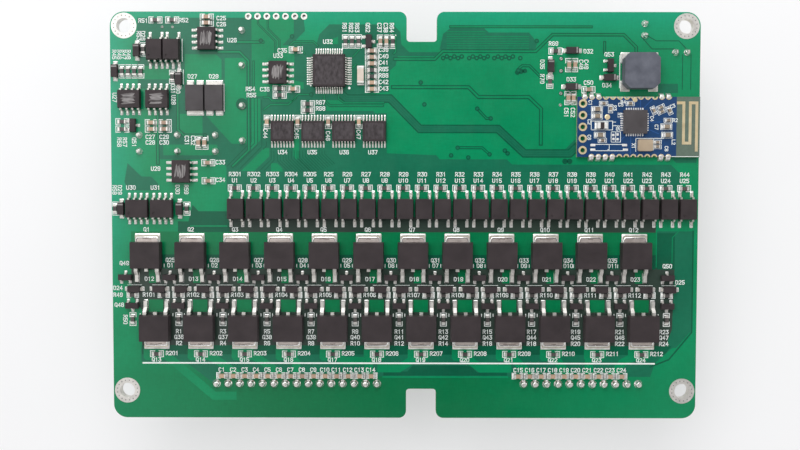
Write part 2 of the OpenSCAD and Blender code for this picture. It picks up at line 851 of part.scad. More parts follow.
module rectifier_tabs() {
    wide = rect_w - 0.6;
    narrow = 1.3;
    color("silver")
        each_rectifier() {
            translate([-wide / 2, -rect_l / 2 - rect_out, 0]) cube([wide, rect_out, rect_tab_t]);
            for (s = [-1, 1])
                translate([s * (wide - narrow) / 2 - narrow / 2, rect_l / 2, 0])
                    cube([narrow, rect_out, rect_tab_t]);
        }
}

// Buzzer: square case with cut corners, a sound port in its right wall and a pad under each corner

buzzer_pad_t = 0.3;

module buzzer_outline() {
    half = buzzer_w / 2;
    flat = half - buzzer_cut;
    polygon([
        [-half, -flat], [-flat, -half], [flat, -half], [half, -flat],
        [half, flat], [flat, half], [-flat, half], [-half, flat]
    ]);
}

module buzzer_case() {
    color("slategray")
        place(BUZZER_PLACE)
            difference() {
                linear_extrude(buzzer_h) buzzer_outline();
                translate([buzzer_w / 2 - 1, 0, buzzer_h / 2]) rotate([0, 90, 0]) cylinder(d = 1.2, h = 2);
            }
}

module buzzer_pads() {
    color("gainsboro")
        place(BUZZER_PLACE)
            linear_extrude(buzzer_pad_t)
                for (turn = [0 : 90 : 270])
                    rotate(turn)
                        difference() {
                            translate([buzzer_w / 2 - buzzer_pad, buzzer_w / 2 - buzzer_pad])
                                square(buzzer_pad + tight_gap);
                            buzzer_outline();
                        }
}

module resonator_body() {
    color("wheat")
        place(RESON_PLACE, 90) chip_middle(reson_l, reson_w, reson_h, 0.4);
}

module resonator_ends() {
    color("gainsboro")
        place(RESON_PLACE, 90) chip_ends(reson_l, reson_w, reson_h, 0.4);
}

// Radio module, drawn from its own lower left corner

module radio_place(z = 0) {
    translate([radio_x, radio_y, board_t + z]) children();
}

// Half holes along the top edge, and along the bottom edge where one fewer is drilled
function castle_at(i) = castle_x + i * castle_pitch;

module castles(d) {
    for (i = [0 : castle_top - 1])
        translate([castle_at(i), radio_w]) circle(d = d);
    for (i = [castle_low_first : castle_top - 1])
        translate([castle_at(i), 0]) circle(d = d);
}

module radio_holes(d) {
    for (i = [-2 : 2])
        translate([radio_hole_x, radio_w / 2 + i * radio_hole_pitch]) circle(d = d);
}

module radio_board() {
    color("midnightblue")
        radio_place()
            linear_extrude(radio_t)
                difference() {
                    square([radio_l, radio_w]);
                    castles(castle_d);
                    radio_holes(radio_hole_d);
                }
}

module radio_lands() {
    color("goldenrod")
        radio_place(radio_t) {
            linear_extrude(land_t)
                difference() {
                    radio_holes(radio_hole_d + 2 * radio_hole_ring);
                    radio_holes(radio_hole_d);
                }
            linear_extrude(land_t)
                difference() {
                    intersection() {
                        castles(castle_d + 2 * castle_land);
                        square([radio_l, radio_w]);
                    }
                    castles(castle_d);
                }
        }
}

// Meander strip on the unmasked end of the module
module radio_antenna() {
    left = radio_mask_l + 1.5;
    right = radio_l - 0.7;
    middle = (left + right) / 2;
    high = radio_w - 1.3;
    low = 3;
    run = antenna_w / 2;
    color("goldenrod")
        radio_place(radio_t)
            linear_extrude(land_t) {
                translate([radio_mask_l, high - run]) square([left - radio_mask_l + run, antenna_w]);
                translate([left - run, low - run]) square([antenna_w, high - low + antenna_w]);
                translate([left - run, low - run]) square([middle - left + antenna_w, antenna_w]);
                translate([middle - run, low - run]) square([antenna_w, high - low + antenna_w]);
                translate([middle - run, high - run]) square([right - middle + antenna_w, antenna_w]);
                translate([right - run, low - 1.8]) square([antenna_w, high + run - low + 1.8]);
            }
}

module radio_chip() {
    color("dimgray")
        radio_place(radio_t)
            translate([radio_chip_at.x, radio_w / 2 + radio_chip_at.y, 0])
                dimpled(radio_chip_w, radio_chip_w, radio_chip_h, 0.4)
                    translate([-radio_chip_w / 2, -radio_chip_w / 2, 0])
                        cube([radio_chip_w, radio_chip_w, radio_chip_h]);
}

module radio_crystal_can() {
    color("tan")
        radio_place(radio_t)
            translate([radio_crystal_at.x, radio_w / 2 + radio_crystal_at.y, 0])
                linear_extrude(radio_crystal.z) round_rect(radio_crystal.x, radio_crystal.y, 0.35);
}

module radio_chip_parts() {
    color("gray")
        radio_place(radio_t)
            for (p = RADIO_CHIPS)
                translate([p.x, radio_w / 2 + p.y, 0])
                    rotate(p.z)
                        translate([-p[3].x / 2, -p[3].y / 2, 0]) cube(p[3]);
}

// Solder runs up the outside of a half hole
module castle_fillet() {
    difference() {
        cylinder(r1 = small_joint_r, r2 = castle_d / 2, h = radio_t);
        translate([-2, -4, -1]) cube([4, 4, radio_t + 2]);
    }
}

module radio_solder() {
    color("silver")
        radio_place() {
            for (i = SOLDERED_TOP)
                translate([castle_at(i), radio_w, 0]) castle_fillet();
            for (i = SOLDERED_LOW)
                translate([castle_at(i), 0, 0]) rotate(180) castle_fillet();
        }
}

// Wire headers hang under the board, with their pins through it

module header_place(h) {
    translate([h[0].x, h[0].y, 0]) rotate(h[1]) children();
}

// Open shroud with key slots in its front wall, drawn downwards from the underside of the board
module header_housing(h) {
    half = pin_x(h, h[2] - 1) + housing_end;
    depth = housing_front + housing_back;
    slot = 1.2;
    slot_y = housing_front - housing_wall - 0.5;
    header_place(h)
        difference() {
            translate([-half, -housing_back, -housing_h]) cube([2 * half, depth, housing_h]);
            translate([-half + housing_wall, -housing_back + housing_wall, -housing_h - 1])
                cube([2 * (half - housing_wall), depth - 2 * housing_wall, housing_h - housing_floor + 1]);
            for (s = [-1, 1])
                translate([s * pin_x(h, h[2] - 1) - slot / 2, slot_y, -housing_h - 1])
                    cube([slot, housing_wall + 1, housing_h - housing_floor + 0.4]);
            for (i = [0 : h[2] - 1])
                translate([pin_x(h, i) - pin_w / 2 - fit_gap, -pin_w / 2 - fit_gap, -housing_h])
                    cube([pin_w + 2 * fit_gap, pin_w + 2 * fit_gap, housing_h + 1]);
        }
}

// Square pins with tapered tips, from inside the shroud to above the board
module header_pin_row(h) {
    low = -housing_h + 1;
    high = board_t + pin_out;
    tip = 0.5;
    half = pin_w / 2;
    point = pin_w / 4;
    header_place(h)
        for (i = [0 : h[2] - 1])
            translate([pin_x(h, i), 0, 0])
                rotate([90, 0, 0])
                    linear_extrude(pin_w, center = true)
                        polygon([
                            [-point, low], [point, low], [half, low + tip], [half, high - tip],
                            [point, high], [-point, high], [-half, high - tip], [-half, low + tip]
                        ]);
}

module left_header_housing() {
    color("ivory") header_housing(LEFT_HEADER);
}

module left_header_pins() {
    color("silver") header_pin_row(LEFT_HEADER);
}

module right_header_housing() {
    color("ivory") header_housing(RIGHT_HEADER);
}

module right_header_pins() {
    color("silver") header_pin_row(RIGHT_HEADER);
}

module probe_header_housings() {
    color("ivory")
        for (h = PROBE_HEADERS) header_housing(h);
}

module probe_header_pins() {
    color("silver")
        for (h = PROBE_HEADERS) header_pin_row(h);
}

// Solder cone that wets a pin, with a low rim on the board
module solder_cone(r, h) {
    rotate_extrude()
        polygon([[0, 0], [r, 0], [r, 0.06], [0.68 * r, 0.45 * h], [0.55 * r, h], [0, h]]);
}

module header_solder() {
    color("silver")
        for (h = HEADERS)
            header_place(h)
                for (i = [0 : h[2] - 1])
                    translate([pin_x(h, i), 0, board_t])
                        difference() {
                            if (h[2] > 2) solder_cone(joint_r, joint_h);
                            else solder_cone(small_joint_r, joint_h - 0.2);
                            translate([-pin_w / 2 - fit_gap, -pin_w / 2 - fit_gap, -1])
                                cube([pin_w + 2 * fit_gap, pin_w + 2 * fit_gap, 3]);
                        }
}

// Capacitors, drawn from the mouth of the can along +Z

module cap_can(d, l) {
    r = can_r(d);
    rotate_extrude()
        polygon([
            [0, seal_t], [seal_r(d), seal_t], [seal_r(d), 0], [r - 0.3, 0], [r, 0.3],
            [r, 1.6], [r - 0.5, 2], [r - 0.5, 2.4], [r, 2.8],
            [r, l - can_edge], [r - can_edge, l], [0, l]
        ]);
}

module cap_sleeve(d, l) {
    r = can_r(d) + fit_gap;
    rotate_extrude()
        polygon([
            [r, sleeve_start], [r, l - can_edge],
            [r - can_edge, l + fit_gap], [r - can_edge - sleeve_lip, l + fit_gap],
            [r - can_edge - sleeve_lip, l + fit_gap + sleeve_t], [r - can_edge, l + fit_gap + sleeve_t],
            [r + sleeve_t, l - can_edge], [r + sleeve_t, sleeve_start]
        ]);
}

module cap_seal(d) {
    cylinder(r = seal_r(d) - fit_gap, h = seal_t);
}

module each_storage_cap() {
    for (i = [0, 1])
        translate([storage_seal_x, storage_at(i).y, storage_z]) rotate([0, 90, 0]) children();
}

module storage_cap_cans() {
    color("silver") each_storage_cap() cap_can(storage_d, storage_l);
}

module storage_cap_sleeves() {
    color("midnightblue") each_storage_cap() cap_sleeve(storage_d, storage_l);
}

module storage_cap_seals() {
    color("black") each_storage_cap() cap_seal(storage_d);
}

// A lead leaves the seal level with the can's axis, bends up and passes through the board
module storage_cap_leads() {
    bend_x = storage_joint_x + storage_bend_r;
    bend_z = storage_z + storage_bend_r;
    color("silver")
        for (p = STORAGE_LEADS)
            translate([0, p.y, 0]) {
                translate([storage_joint_x, 0, bend_z])
                    cylinder(d = storage_lead_d, h = board_t + pin_out - bend_z);
                translate([bend_x, 0, bend_z])
                    rotate([90, 0, 0])
                        rotate(180)
                            rotate_extrude(angle = 90)
                                translate([storage_bend_r, 0]) circle(d = storage_lead_d);
                translate([bend_x, 0, storage_z])
                    rotate([0, 90, 0]) cylinder(d = storage_lead_d, h = storage_seal_x - bend_x);
            }
}

module each_filter_cap() {
    for (i = [0 : 2])
        translate([filter_at(i).x, filter_at(i).y, 0]) rotate([180, 0, 0]) children();
}

module filter_cap_cans() {
    color("silver") each_filter_cap() cap_can(filter_d, filter_l);
}

module filter_cap_sleeves() {
    color("midnightblue") each_filter_cap() cap_sleeve(filter_d, filter_l);
}

module filter_cap_seals() {
    color("black") each_filter_cap() cap_seal(filter_d);
}

module filter_cap_leads() {
    color("silver")
        for (p = FILTER_LEADS)
            translate([p.x, p.y, 0]) cylinder(d = filter_lead_d, h = board_t + pin_out);
}

module lead_joint(p, d) {
    translate([p.x, p.y, board_t])
        difference() {
            solder_cone(small_joint_r, joint_h);
            translate([0, 0, -1]) cylinder(d = d + 2 * fit_gap, h = 3);
        }
}

module capacitor_solder() {
    color("silver") {
        for (p = STORAGE_LEADS) lead_joint(p, storage_lead_d);
        for (p = FILTER_LEADS) lead_joint(p, filter_lead_d);
    }
}

pcb();
mounting_lands();
spare_header_lands();
opto_bodies();
opto_leads();
fast_opto_bodies();
fast_opto_leads();
upper_mosfet_bodies();
upper_mosfet_tabs();
upper_mosfet_leads();
lower_mosfet_bodies();
lower_mosfet_tabs();
lower_mosfet_leads();
transistor_bodies();
transistor_leads();
diode_bodies();
diode_leads();
resistor_bodies();
resistor_ends();
capacitor_bodies();
capacitor_ends();
soic_bodies();
soic_leads();
tssop_bodies();
tssop_leads();
controller_body();
controller_leads();
rectifier_bodies();
rectifier_tabs();
buzzer_case();
buzzer_pads();
resonator_body();
resonator_ends();
radio_board();
radio_lands();
radio_antenna();
radio_chip();
radio_crystal_can();
radio_chip_parts();
radio_solder();
left_header_housing();
left_header_pins();
right_header_housing();
right_header_pins();
probe_header_housings();
probe_header_pins();
header_solder();
storage_cap_cans();
storage_cap_sleeves();
storage_cap_seals();
storage_cap_leads();
filter_cap_cans();
filter_cap_sleeves();
filter_cap_seals();
filter_cap_leads();
capacitor_solder();
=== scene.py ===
"""Looks of the active balancer board: solder, copper, print, materials, light and camera."""

import json
import math

import bpy
import numpy as np
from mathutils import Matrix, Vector
from mathutils.geometry import tessellate_polygon


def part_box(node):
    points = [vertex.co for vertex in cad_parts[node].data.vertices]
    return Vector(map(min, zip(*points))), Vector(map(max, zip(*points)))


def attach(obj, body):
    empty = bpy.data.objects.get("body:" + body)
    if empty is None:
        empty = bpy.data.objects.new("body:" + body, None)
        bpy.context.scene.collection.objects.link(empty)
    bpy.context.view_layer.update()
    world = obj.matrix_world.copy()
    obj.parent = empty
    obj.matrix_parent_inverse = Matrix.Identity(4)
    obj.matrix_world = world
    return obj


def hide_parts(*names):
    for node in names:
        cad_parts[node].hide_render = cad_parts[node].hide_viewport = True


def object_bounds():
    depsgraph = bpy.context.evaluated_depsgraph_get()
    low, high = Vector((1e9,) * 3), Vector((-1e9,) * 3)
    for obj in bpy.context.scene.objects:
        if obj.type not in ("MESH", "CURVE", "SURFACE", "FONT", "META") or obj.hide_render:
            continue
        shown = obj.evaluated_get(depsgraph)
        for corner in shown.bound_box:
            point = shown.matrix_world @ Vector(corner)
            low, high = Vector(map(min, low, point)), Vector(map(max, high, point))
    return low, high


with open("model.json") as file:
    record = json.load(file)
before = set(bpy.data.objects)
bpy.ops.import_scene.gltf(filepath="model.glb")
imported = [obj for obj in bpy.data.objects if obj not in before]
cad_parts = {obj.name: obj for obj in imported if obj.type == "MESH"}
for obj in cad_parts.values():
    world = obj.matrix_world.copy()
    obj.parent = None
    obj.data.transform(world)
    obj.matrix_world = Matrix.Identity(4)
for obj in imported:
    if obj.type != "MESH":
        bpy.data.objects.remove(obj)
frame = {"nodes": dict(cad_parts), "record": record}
cad_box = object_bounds()

# Lengths are millimetres as far as the materials. TOP is the height of the component side.
MM = 0.001
TOP = 1.6
COLUMNS = 12
PITCH = 9.6
OPTOS = 25


def upper_x(i):
    """Middle of a transistor in the upper row."""
    return -55.8 + PITCH * i


def lower_x(i):
    """Middle of a transistor in the lower row."""
    return -54.0 + PITCH * i


def opto_x(k):
    """Middle of an optocoupler."""
    return -36.4 + 4.05 * k


def path(text):
    """Points written as "x,y x,y"; a third number may follow in each."""
    return [tuple(float(number) for number in point.split(",")) for point in text.split()]


def add_object(name, data):
    """New object in the scene."""
    obj = bpy.data.objects.new(name, data)
    bpy.context.scene.collection.objects.link(obj)
    return obj


# Shapes


def circle(x, y, r, n):
    """Corners of a circle, counter-clockwise."""
    angles = [2 * math.pi * k / n for k in range(n)]
    return [(x + r * math.cos(a), y + r * math.sin(a)) for a in angles]


def ring(x0, y0, x1, y1, r, z, steps=2):
    """Rounded rectangle at height z, counter-clockwise."""
    points = []
    corners = ((x1 - r, y1 - r), (x0 + r, y1 - r), (x0 + r, y0 + r), (x1 - r, y0 + r))
    for quarter, (cx, cy) in enumerate(corners):
        for k in range(steps + 1):
            a = math.radians(90 * quarter + 90 * k / steps)
            points.append((cx + r * math.cos(a), cy + r * math.sin(a), z))
    return points


class Sheet:
    """Faces that become one piece of the board."""

    def __init__(self):
        self.points = []
        self.faces = []

    def add(self, points, faces):
        base = len(self.points)
        self.points += points
        self.faces += [[base + i for i in face] for face in faces]

    def field(self, outline, z):
        """Flat field with any outline, facing up."""
        faces = []
        for face in tessellate_polygon([[Vector((x, y, 0)) for x, y in outline]]):
            (ax, ay), (bx, by), (cx, cy) = (outline[i] for i in face)
            turn = (bx - ax) * (cy - ay) - (by - ay) * (cx - ax)
            faces.append(list(face) if turn > 0 else list(face)[::-1])
        self.add([(x, y, z) for x, y in outline], faces)

    def rect(self, x0, y0, x1, y1, z):
        self.field([(x0, y0), (x1, y0), (x1, y1), (x0, y1)], z)

    def disc(self, x, y, r, z, n=12):
        self.field(circle(x, y, r, n), z)

    def ribbon(self, line, width, z, closed=False):
        """Flat strip along a line, mitred at its corners, its open ends drawn out by half its width."""
        pts = [Vector(p) for p in line]
        n = len(pts)
        if not closed:
            pts[0] = pts[0] - (pts[1] - pts[0]).normalized() * width / 2
            pts[-1] = pts[-1] + (pts[-1] - pts[-2]).normalized() * width / 2
        rows = []
        for i, p in enumerate(pts):
            before = (p - pts[i - 1]).normalized() if i or closed else None
            after = (pts[(i + 1) % n] - p).normalized() if i < n - 1 or closed else None
            along = before or after
            side = Vector((-along.y, along.x))
            # A line that turns back has no mitre there, and a sharp corner has a short one
            if before and after:
                mean = before + after
                if mean.length > 0.1:
                    mean.normalize()
                    mitre = Vector((-mean.y, mean.x))
                    side = mitre / max(0.45, mitre.dot(side))
            rows.append((p + side * width / 2, p - side * width / 2))
        points = [(q.x, q.y, z) for row in rows for q in row]
        last = n if closed else n - 1
        self.add(points, [[2 * i, 2 * i + 1, (2 * i + 3) % (2 * n), (2 * i + 2) % (2 * n)]
                          for i in range(last)])

    def loft(self, rings, cap=False):
        """Skin over rings that have the same number of points, from the outer ring to the inner one."""
        n = len(rings[0])
        faces = []
        for j in range(len(rings) - 1):
            for i in range(n):
                k = (i + 1) % n
                faces.append([j * n + i, j * n + k, (j + 1) * n + k, (j + 1) * n + i])
        if cap:
            faces.append([(len(rings) - 1) * n + i for i in range(n)])
        self.add([p for ring in rings for p in ring], faces)

    def lathe(self, x, y, z, profile, n):
        """Round form about an upright axis, from its profile of (radius, height above z)."""
        self.loft([[(px, py, z + up) for px, py in circle(x, y, r, n)] for r, up in profile], cap=True)

    def block(self, x0, y0, z0, x1, y1, z1, edge):
        """Box with softened top edges."""
        self.loft([ring(x0, y0, x1, y1, edge, z0), ring(x0, y0, x1, y1, edge, z1 - edge),
                   ring(x0 + edge, y0 + edge, x1 - edge, y1 - edge, edge / 2, z1)], cap=True)

    def placed(self, part, x, y, turn):
        """Add another sheet, turned about its origin and moved."""
        c, s = math.cos(math.radians(turn)), math.sin(math.radians(turn))
        self.add([(x + c * u - s * v, y + s * u + c * v, w) for u, v, w in part.points], part.faces)

    def piece(self, name, material, slot=None, smooth=False):
        """Make the object, with its finish; it rides on the one body. The slot is not used."""
        mesh = bpy.data.meshes.new(name)
        mesh.from_pydata([(x * MM, y * MM, z * MM) for x, y, z in self.points], [], self.faces)
        mesh.polygons.foreach_set("use_smooth", [smooth] * len(mesh.polygons))
        mesh.materials.append(material)
        obj = add_object(name, mesh)
        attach(obj, "root")
        return obj


def sheets(count):
    """New empty sheets."""
    return [Sheet() for _ in range(count)]


def beside(line, d):
    """The line moved sideways by d."""
    out = []
    for i, p in enumerate(line):
        p = Vector(p)
        before = (p - Vector(line[i - 1])).normalized() if i else (Vector(line[1]) - p).normalized()
        after = (Vector(line[i + 1]) - p).normalized() if i < len(line) - 1 else before
        mean = (before + after).normalized()
        k = d / max(0.5, mean.dot(after))
        out.append((p.x - mean.y * k, p.y + mean.x * k))
    return out


# Solids of the CAD nodes


def islands(node):
    """The separate solids of a CAD node, each as its corner points."""
    mesh = frame["nodes"][node].data
    co = np.empty(len(mesh.vertices) * 3)
    mesh.vertices.foreach_get("co", co)
    co = np.round(co.reshape(-1, 3) / MM, 3)
    keys = {}
    ids = [keys.setdefault(tuple(p), len(keys)) for p in co.tolist()]
    parent = list(range(len(keys)))

    def find(i):
        while parent[i] != i:
            parent[i] = parent[parent[i]]
            i = parent[i]
        return i

    for poly in mesh.polygons:
        first = find(ids[poly.vertices[0]])
        for v in poly.vertices[1:]:
            parent[find(ids[v])] = first
    groups = {}
    for point, i in keys.items():
        groups.setdefault(find(i), []).append(point)
    return [np.array(group) for group in groups.values()]


def box_of(solid):
    """Lowest and highest corner, as x0, y0, z0, x1, y1, z1."""
    return (*solid.min(0), *solid.max(0))


def outline_of(solid):
    """Extent on the board, as x0, y0, x1, y1."""
    return (*solid[:, :2].min(0), *solid[:, :2].max(0))


def middle_of(solid):
    """Middle of the extent on the board."""
    x0, y0, x1, y1 = outline_of(solid)
    return np.array(((x0 + x1) / 2, (y0 + y1) / 2))


# Solder: a tinned pad and a meniscus that climbs the foot of a lead

PAD_HIGH = 0.04
# Steps of the meniscus: share of the way from pad to foot, and share of its rise
MENISCUS = ((0.0, 0.0), (0.3, 0.06), (0.62, 0.22), (0.85, 0.55), (1.0, 1.0))
# Steps of a round joint: share of its radius, share of its height, and unevenness
DOME = ((1.0, 0.0, 0), (0.99, 0.08, 0), (0.86, 0.2, 0.02), (0.74, 0.42, 0.05),
        (0.64, 0.7, 0.06), (0.56, 0.9, 0.04), (0.4, 0.995, 0.02), (0.12, 0.93, 0))
# Section of the bead on a tab: place across it and height
BEAD = ((-0.15, 0.004), (-0.08, 0.07), (0, 0.09), (0.08, 0.07), (0.15, 0.004))

# Reach of the pad past the toe, heel and side of a lead's foot, and rise of its solder
LEADS = {
    "opto_leads": (0.5, 0.25, 0.14, 0.22),
    "fast_opto_leads": (0.45, 0.25, 0.12, 0.22),
    "upper_mosfet_leads": (0.3, 0.2, 0.12, 0.4),
    "lower_mosfet_leads": (0.3, 0.2, 0.12, 0.4),
    "transistor_leads": (0.22, 0.12, 0.12, 0.12),
    "diode_leads": (0.3, 0.1, 0.14, 0.14),
    "soic_leads": (0.4, 0.2, 0.1, 0.2),
    "tssop_leads": (0.35, 0.12, 0.06, 0.12),
    "controller_leads": (0.35, 0.12, 0.05, 0.12),
}
# Bodies and ends of the chip parts, and rise of their solder
CHIPS = [
    ("resistor_bodies", "resistor_ends", 0.3),
    ("capacitor_bodies", "capacitor_ends", 0.5),
    ("resonator_body", "resonator_ends", 0.5),
]
TABS = (("upper_mosfet_tabs", 1), ("lower_mosfet_tabs", -1))


def joint(sheet, foot, pad, rise, z=TOP, foot_corner=0.02, cap=False):
    """Solder that climbs from a pad to the foot on it; both are (x0, y0, x1, y1)."""
    px0, py0, px1, py1 = pad
    corner = min(0.12, (px1 - px0) / 3, (py1 - py0) / 3)
    rings = [ring(*pad, corner, z)]
    for share, up in MENISCUS:
        inset = 0.02 * (1 - share)
        x0, y0, x1, y1 = (p + (f - p) * share for p, f in zip(pad, foot))
        r = corner * (1 - share) + foot_corner * share
        rings.append(ring(x0 + inset, y0 + inset, x1 - inset, y1 - inset, r, z + PAD_HIGH + rise * up))
    sheet.loft(rings, cap)


def pad_round(foot, towards, toe, heel, side):
    """Pad of a foot whose toe points along towards."""
    x0, y0, x1, y1 = foot
    if abs(towards[0]) > abs(towards[1]):
        ahead, behind = (toe, heel) if towards[0] > 0 else (heel, toe)
        return x0 - behind, y0 - side, x1 + ahead, y1 + side
    ahead, behind = (toe, heel) if towards[1] > 0 else (heel, toe)
    return x0 - side, y0 - behind, x1 + side, y1 + ahead


def solder_leads():
    """Joints of the leads, of the transistor tabs, and of the rectifiers and the buzzer."""
    sheet = Sheet()
    for node, (toe, heel, side, rise) in LEADS.items():
        for solid in islands(node):
            low = solid[solid[:, 2] < TOP + 0.03]
            if len(low):
                foot = outline_of(low)
                joint(sheet, foot, pad_round(foot, middle_of(low) - middle_of(solid), toe, heel, side), rise)
    for node, reach in TABS:
        for solid in islands(node):
            foot = outline_of(solid)
            joint(sheet, foot, pad_round(foot, (0, reach), 0.42, 0.1, 0.2), 0.3, foot_corner=0.5)
    for node in ("rectifier_tabs", "buzzer_pads"):
        for solid in islands(node):
            foot = outline_of(solid)
            joint(sheet, foot, pad_round(foot, (0, 1), 0.3, 0.3, 0.15), 0.2)
    return sheet


def solder_chips():
    """Joints of the chip parts; each toe points away from the middle of the body."""
    sheet = Sheet()
    for bodies, ends, rise in CHIPS:
        centres = np.array([middle_of(solid) for solid in islands(bodies)])
        for solid in islands(ends):
            here, foot = middle_of(solid), outline_of(solid)
            near = centres[np.argmin(((centres - here) ** 2).sum(1))]
            joint(sheet, foot, pad_round(foot, here - near, 0.38, 0.1, 0.09), rise)
    return sheet


def round_joints(node):
    """Domed joints of the through holes: a skirt on the land, an uneven cone and a ring round the lead."""
    sheet = Sheet()
    for n, solid in enumerate(islands(node)):
        x0, y0, z0, x1, y1, z1 = box_of(solid)
        x, y, r = (x0 + x1) / 2, (y0 + y1) / 2, (x1 - x0) / 2
        rings = []
        for share, up, sway in DOME:
            points = []
            for k in range(20):
                a = math.pi * k / 10
                d = r * share * (1 + sway * math.sin(2 * a + 1.7 * n) + sway * math.sin(3 * a + 2.9 * n))
                points.append((x + d * math.cos(a), y + d * math.sin(a), z0 + (z1 - z0) * up))
            rings.append(points)
        sheet.loft(rings, cap=True)
    return sheet


def tab_tops():
    """On each transistor tab: a stained rim, a bead of solder along the rounded edge and a scratch."""
    rims, beads, marks = sheets(3)
    tabs = [(solid, s) for node, s in TABS for solid in islands(node)]
    for n, (solid, s) in enumerate(tabs):
        x0, y0, _, x1, y1, z = box_of(solid)
        x, w, edge = (x0 + x1) / 2, (x1 - x0) / 2, y1 if s > 0 else y0
        arch = [(-w + 0.14, 1.35), (-w + 0.2, 0.85), (-w + 0.5, 0.46)]
        arch += [(-u, t) for u, t in arch[::-1]]
        rim = [(-w, 1.35), (-w, 0), (w, 0), (w, 1.35)] + arch[::-1]
        rims.field([(x + u, edge - s * t) for u, t in rim], z + 0.004)
        line = [(x + u, edge - s * t) for u, t in arch][::-s]
        m = len(line)
        points = [(px, py, z + up) for d, up in BEAD for px, py in beside(line, d)]
        starts = [j * m + i for j in range(len(BEAD) - 1) for i in range(m - 1)]
        beads.add(points, [[k + m, k + m + 1, k + 1, k] for k in starts])
        reach = 0.9 + 0.5 * math.sin(2.3 * n)
        if n % 4 != 3:
            scratch = ((-1, 0.8), (-0.2, 0.72), (1, 0.82))
            marks.ribbon([(x + u * reach, edge - s * t) for u, t in scratch], 0.1, z + 0.008)
    return rims, beads, marks


def flux_stain():
    """Brown stain on one tab of the upper row."""
    sheet = Sheet()
    x = upper_x(8)
    stain = path("-1.7,-6 -0.9,-6.22 0.4,-6.15 1.3,-6.32 1.8,-6.1 0.9,-5.86 -0.3,-5.92 -1.1,-5.8")
    sheet.field([(x + u, v) for u, v in stain], TOP + 0.506)
    return sheet


# Print: a stroke font on a grid four wide and six high; a semicolon parts the strokes of a letter

FONT = {
    "0": "1,0 0,1 0,5 1,6 3,6 4,5 4,1 3,0 1,0",
    "1": "1,4.8 2.2,6 2.2,0",
    "2": "0,5 1,6 3,6 4,5 4,4 0,0 4,0",
    "3": "0,6 4,6 2,3.6 3,3.6 4,2.6 4,1 3,0 1,0 0,1",
    "4": "3,0 3,6 0,2 4.2,2",
    "5": "4,6 0,6 0,3.4 3,3.4 4,2.4 4,1 3,0 1,0 0,1",
    "6": "4,5 3,6 1,6 0,5 0,1 1,0 3,0 4,1 4,2.4 3,3.4 0.2,3.4",
    "7": "0,6 4,6 1.4,0",
    "8": "1,3.2 0,4 0,5 1,6 3,6 4,5 4,4 3,3.2 1,3.2; 1,3.2 0,2.3 0,1 1,0 3,0 4,1 4,2.3 3,3.2",
    "9": "0,1 1,0 3,0 4,1 4,5 3,6 1,6 0,5 0,3.6 1,2.6 3.8,2.6",
    "C": "4,5 3,6 1,6 0,5 0,1 1,0 3,0 4,1",
    "D": "0,0 0,6 2.6,6 4,4.6 4,1.4 2.6,0 0,0",
    "J": "0,1 1,0 2.6,0 3.6,1 3.6,6",
    "L": "0,6 0,0 4,0",
    "Q": "1,0 0,1 0,5 1,6 3,6 4,5 4,1 3,0 1,0; 2.4,1.6 4.2,-0.3",
    "R": "0,0 0,6 3,6 4,5 4,4 3,3 0,3; 2,3 4,0",
    "U": "0,6 0,1 1,0 3,0 4,1 4,6",
    "X": "0,0 4,6; 0,6 4,0",
}


def label(sheet, text, x, y, turn=0, size=0.8, z=TOP + 0.04, weight=0.15):
    """Letters centred on a point."""
    high = size / 6
    wide = 0.88 * high
    step = 6.0 * wide
    start = -((len(text) - 1) * step + 4 * wide) / 2
    letters = Sheet()
    for n, letter in enumerate(text):
        for k, stroke in enumerate(FONT[letter].split(";")):
            line = [(start + n * step + u * wide, (v - 3) * high) for u, v in path(stroke)]
            letters.ribbon(line, weight, z + 0.003 * k)
    sheet.placed(letters, x, y, turn)


# Part marks that repeat along a row: how often, the row's places, and kind, x and y of each mark there.
# A kind with a digit is a series, and its numbers have two digits.
ROWS = (
    (COLUMNS, upper_x, [("Q", -0.2, -4.35)]),
    (COLUMNS, lower_x, [("Q", -0.1, -32.75), ("R2", 3.3, -31.35)]),
    (COLUMNS - 1, upper_x, [("Q", 4.9, -11.0), ("D", 4.9, -12.15)]),
    (COLUMNS, upper_x, [("D", 0.3, -15.1), ("R1", 0.2, -18.55)]),
    (COLUMNS, upper_x, [("R", 6.65, -26.55), ("Q", 6.65, -27.8), ("R", 6.65, -29.15)]),
)
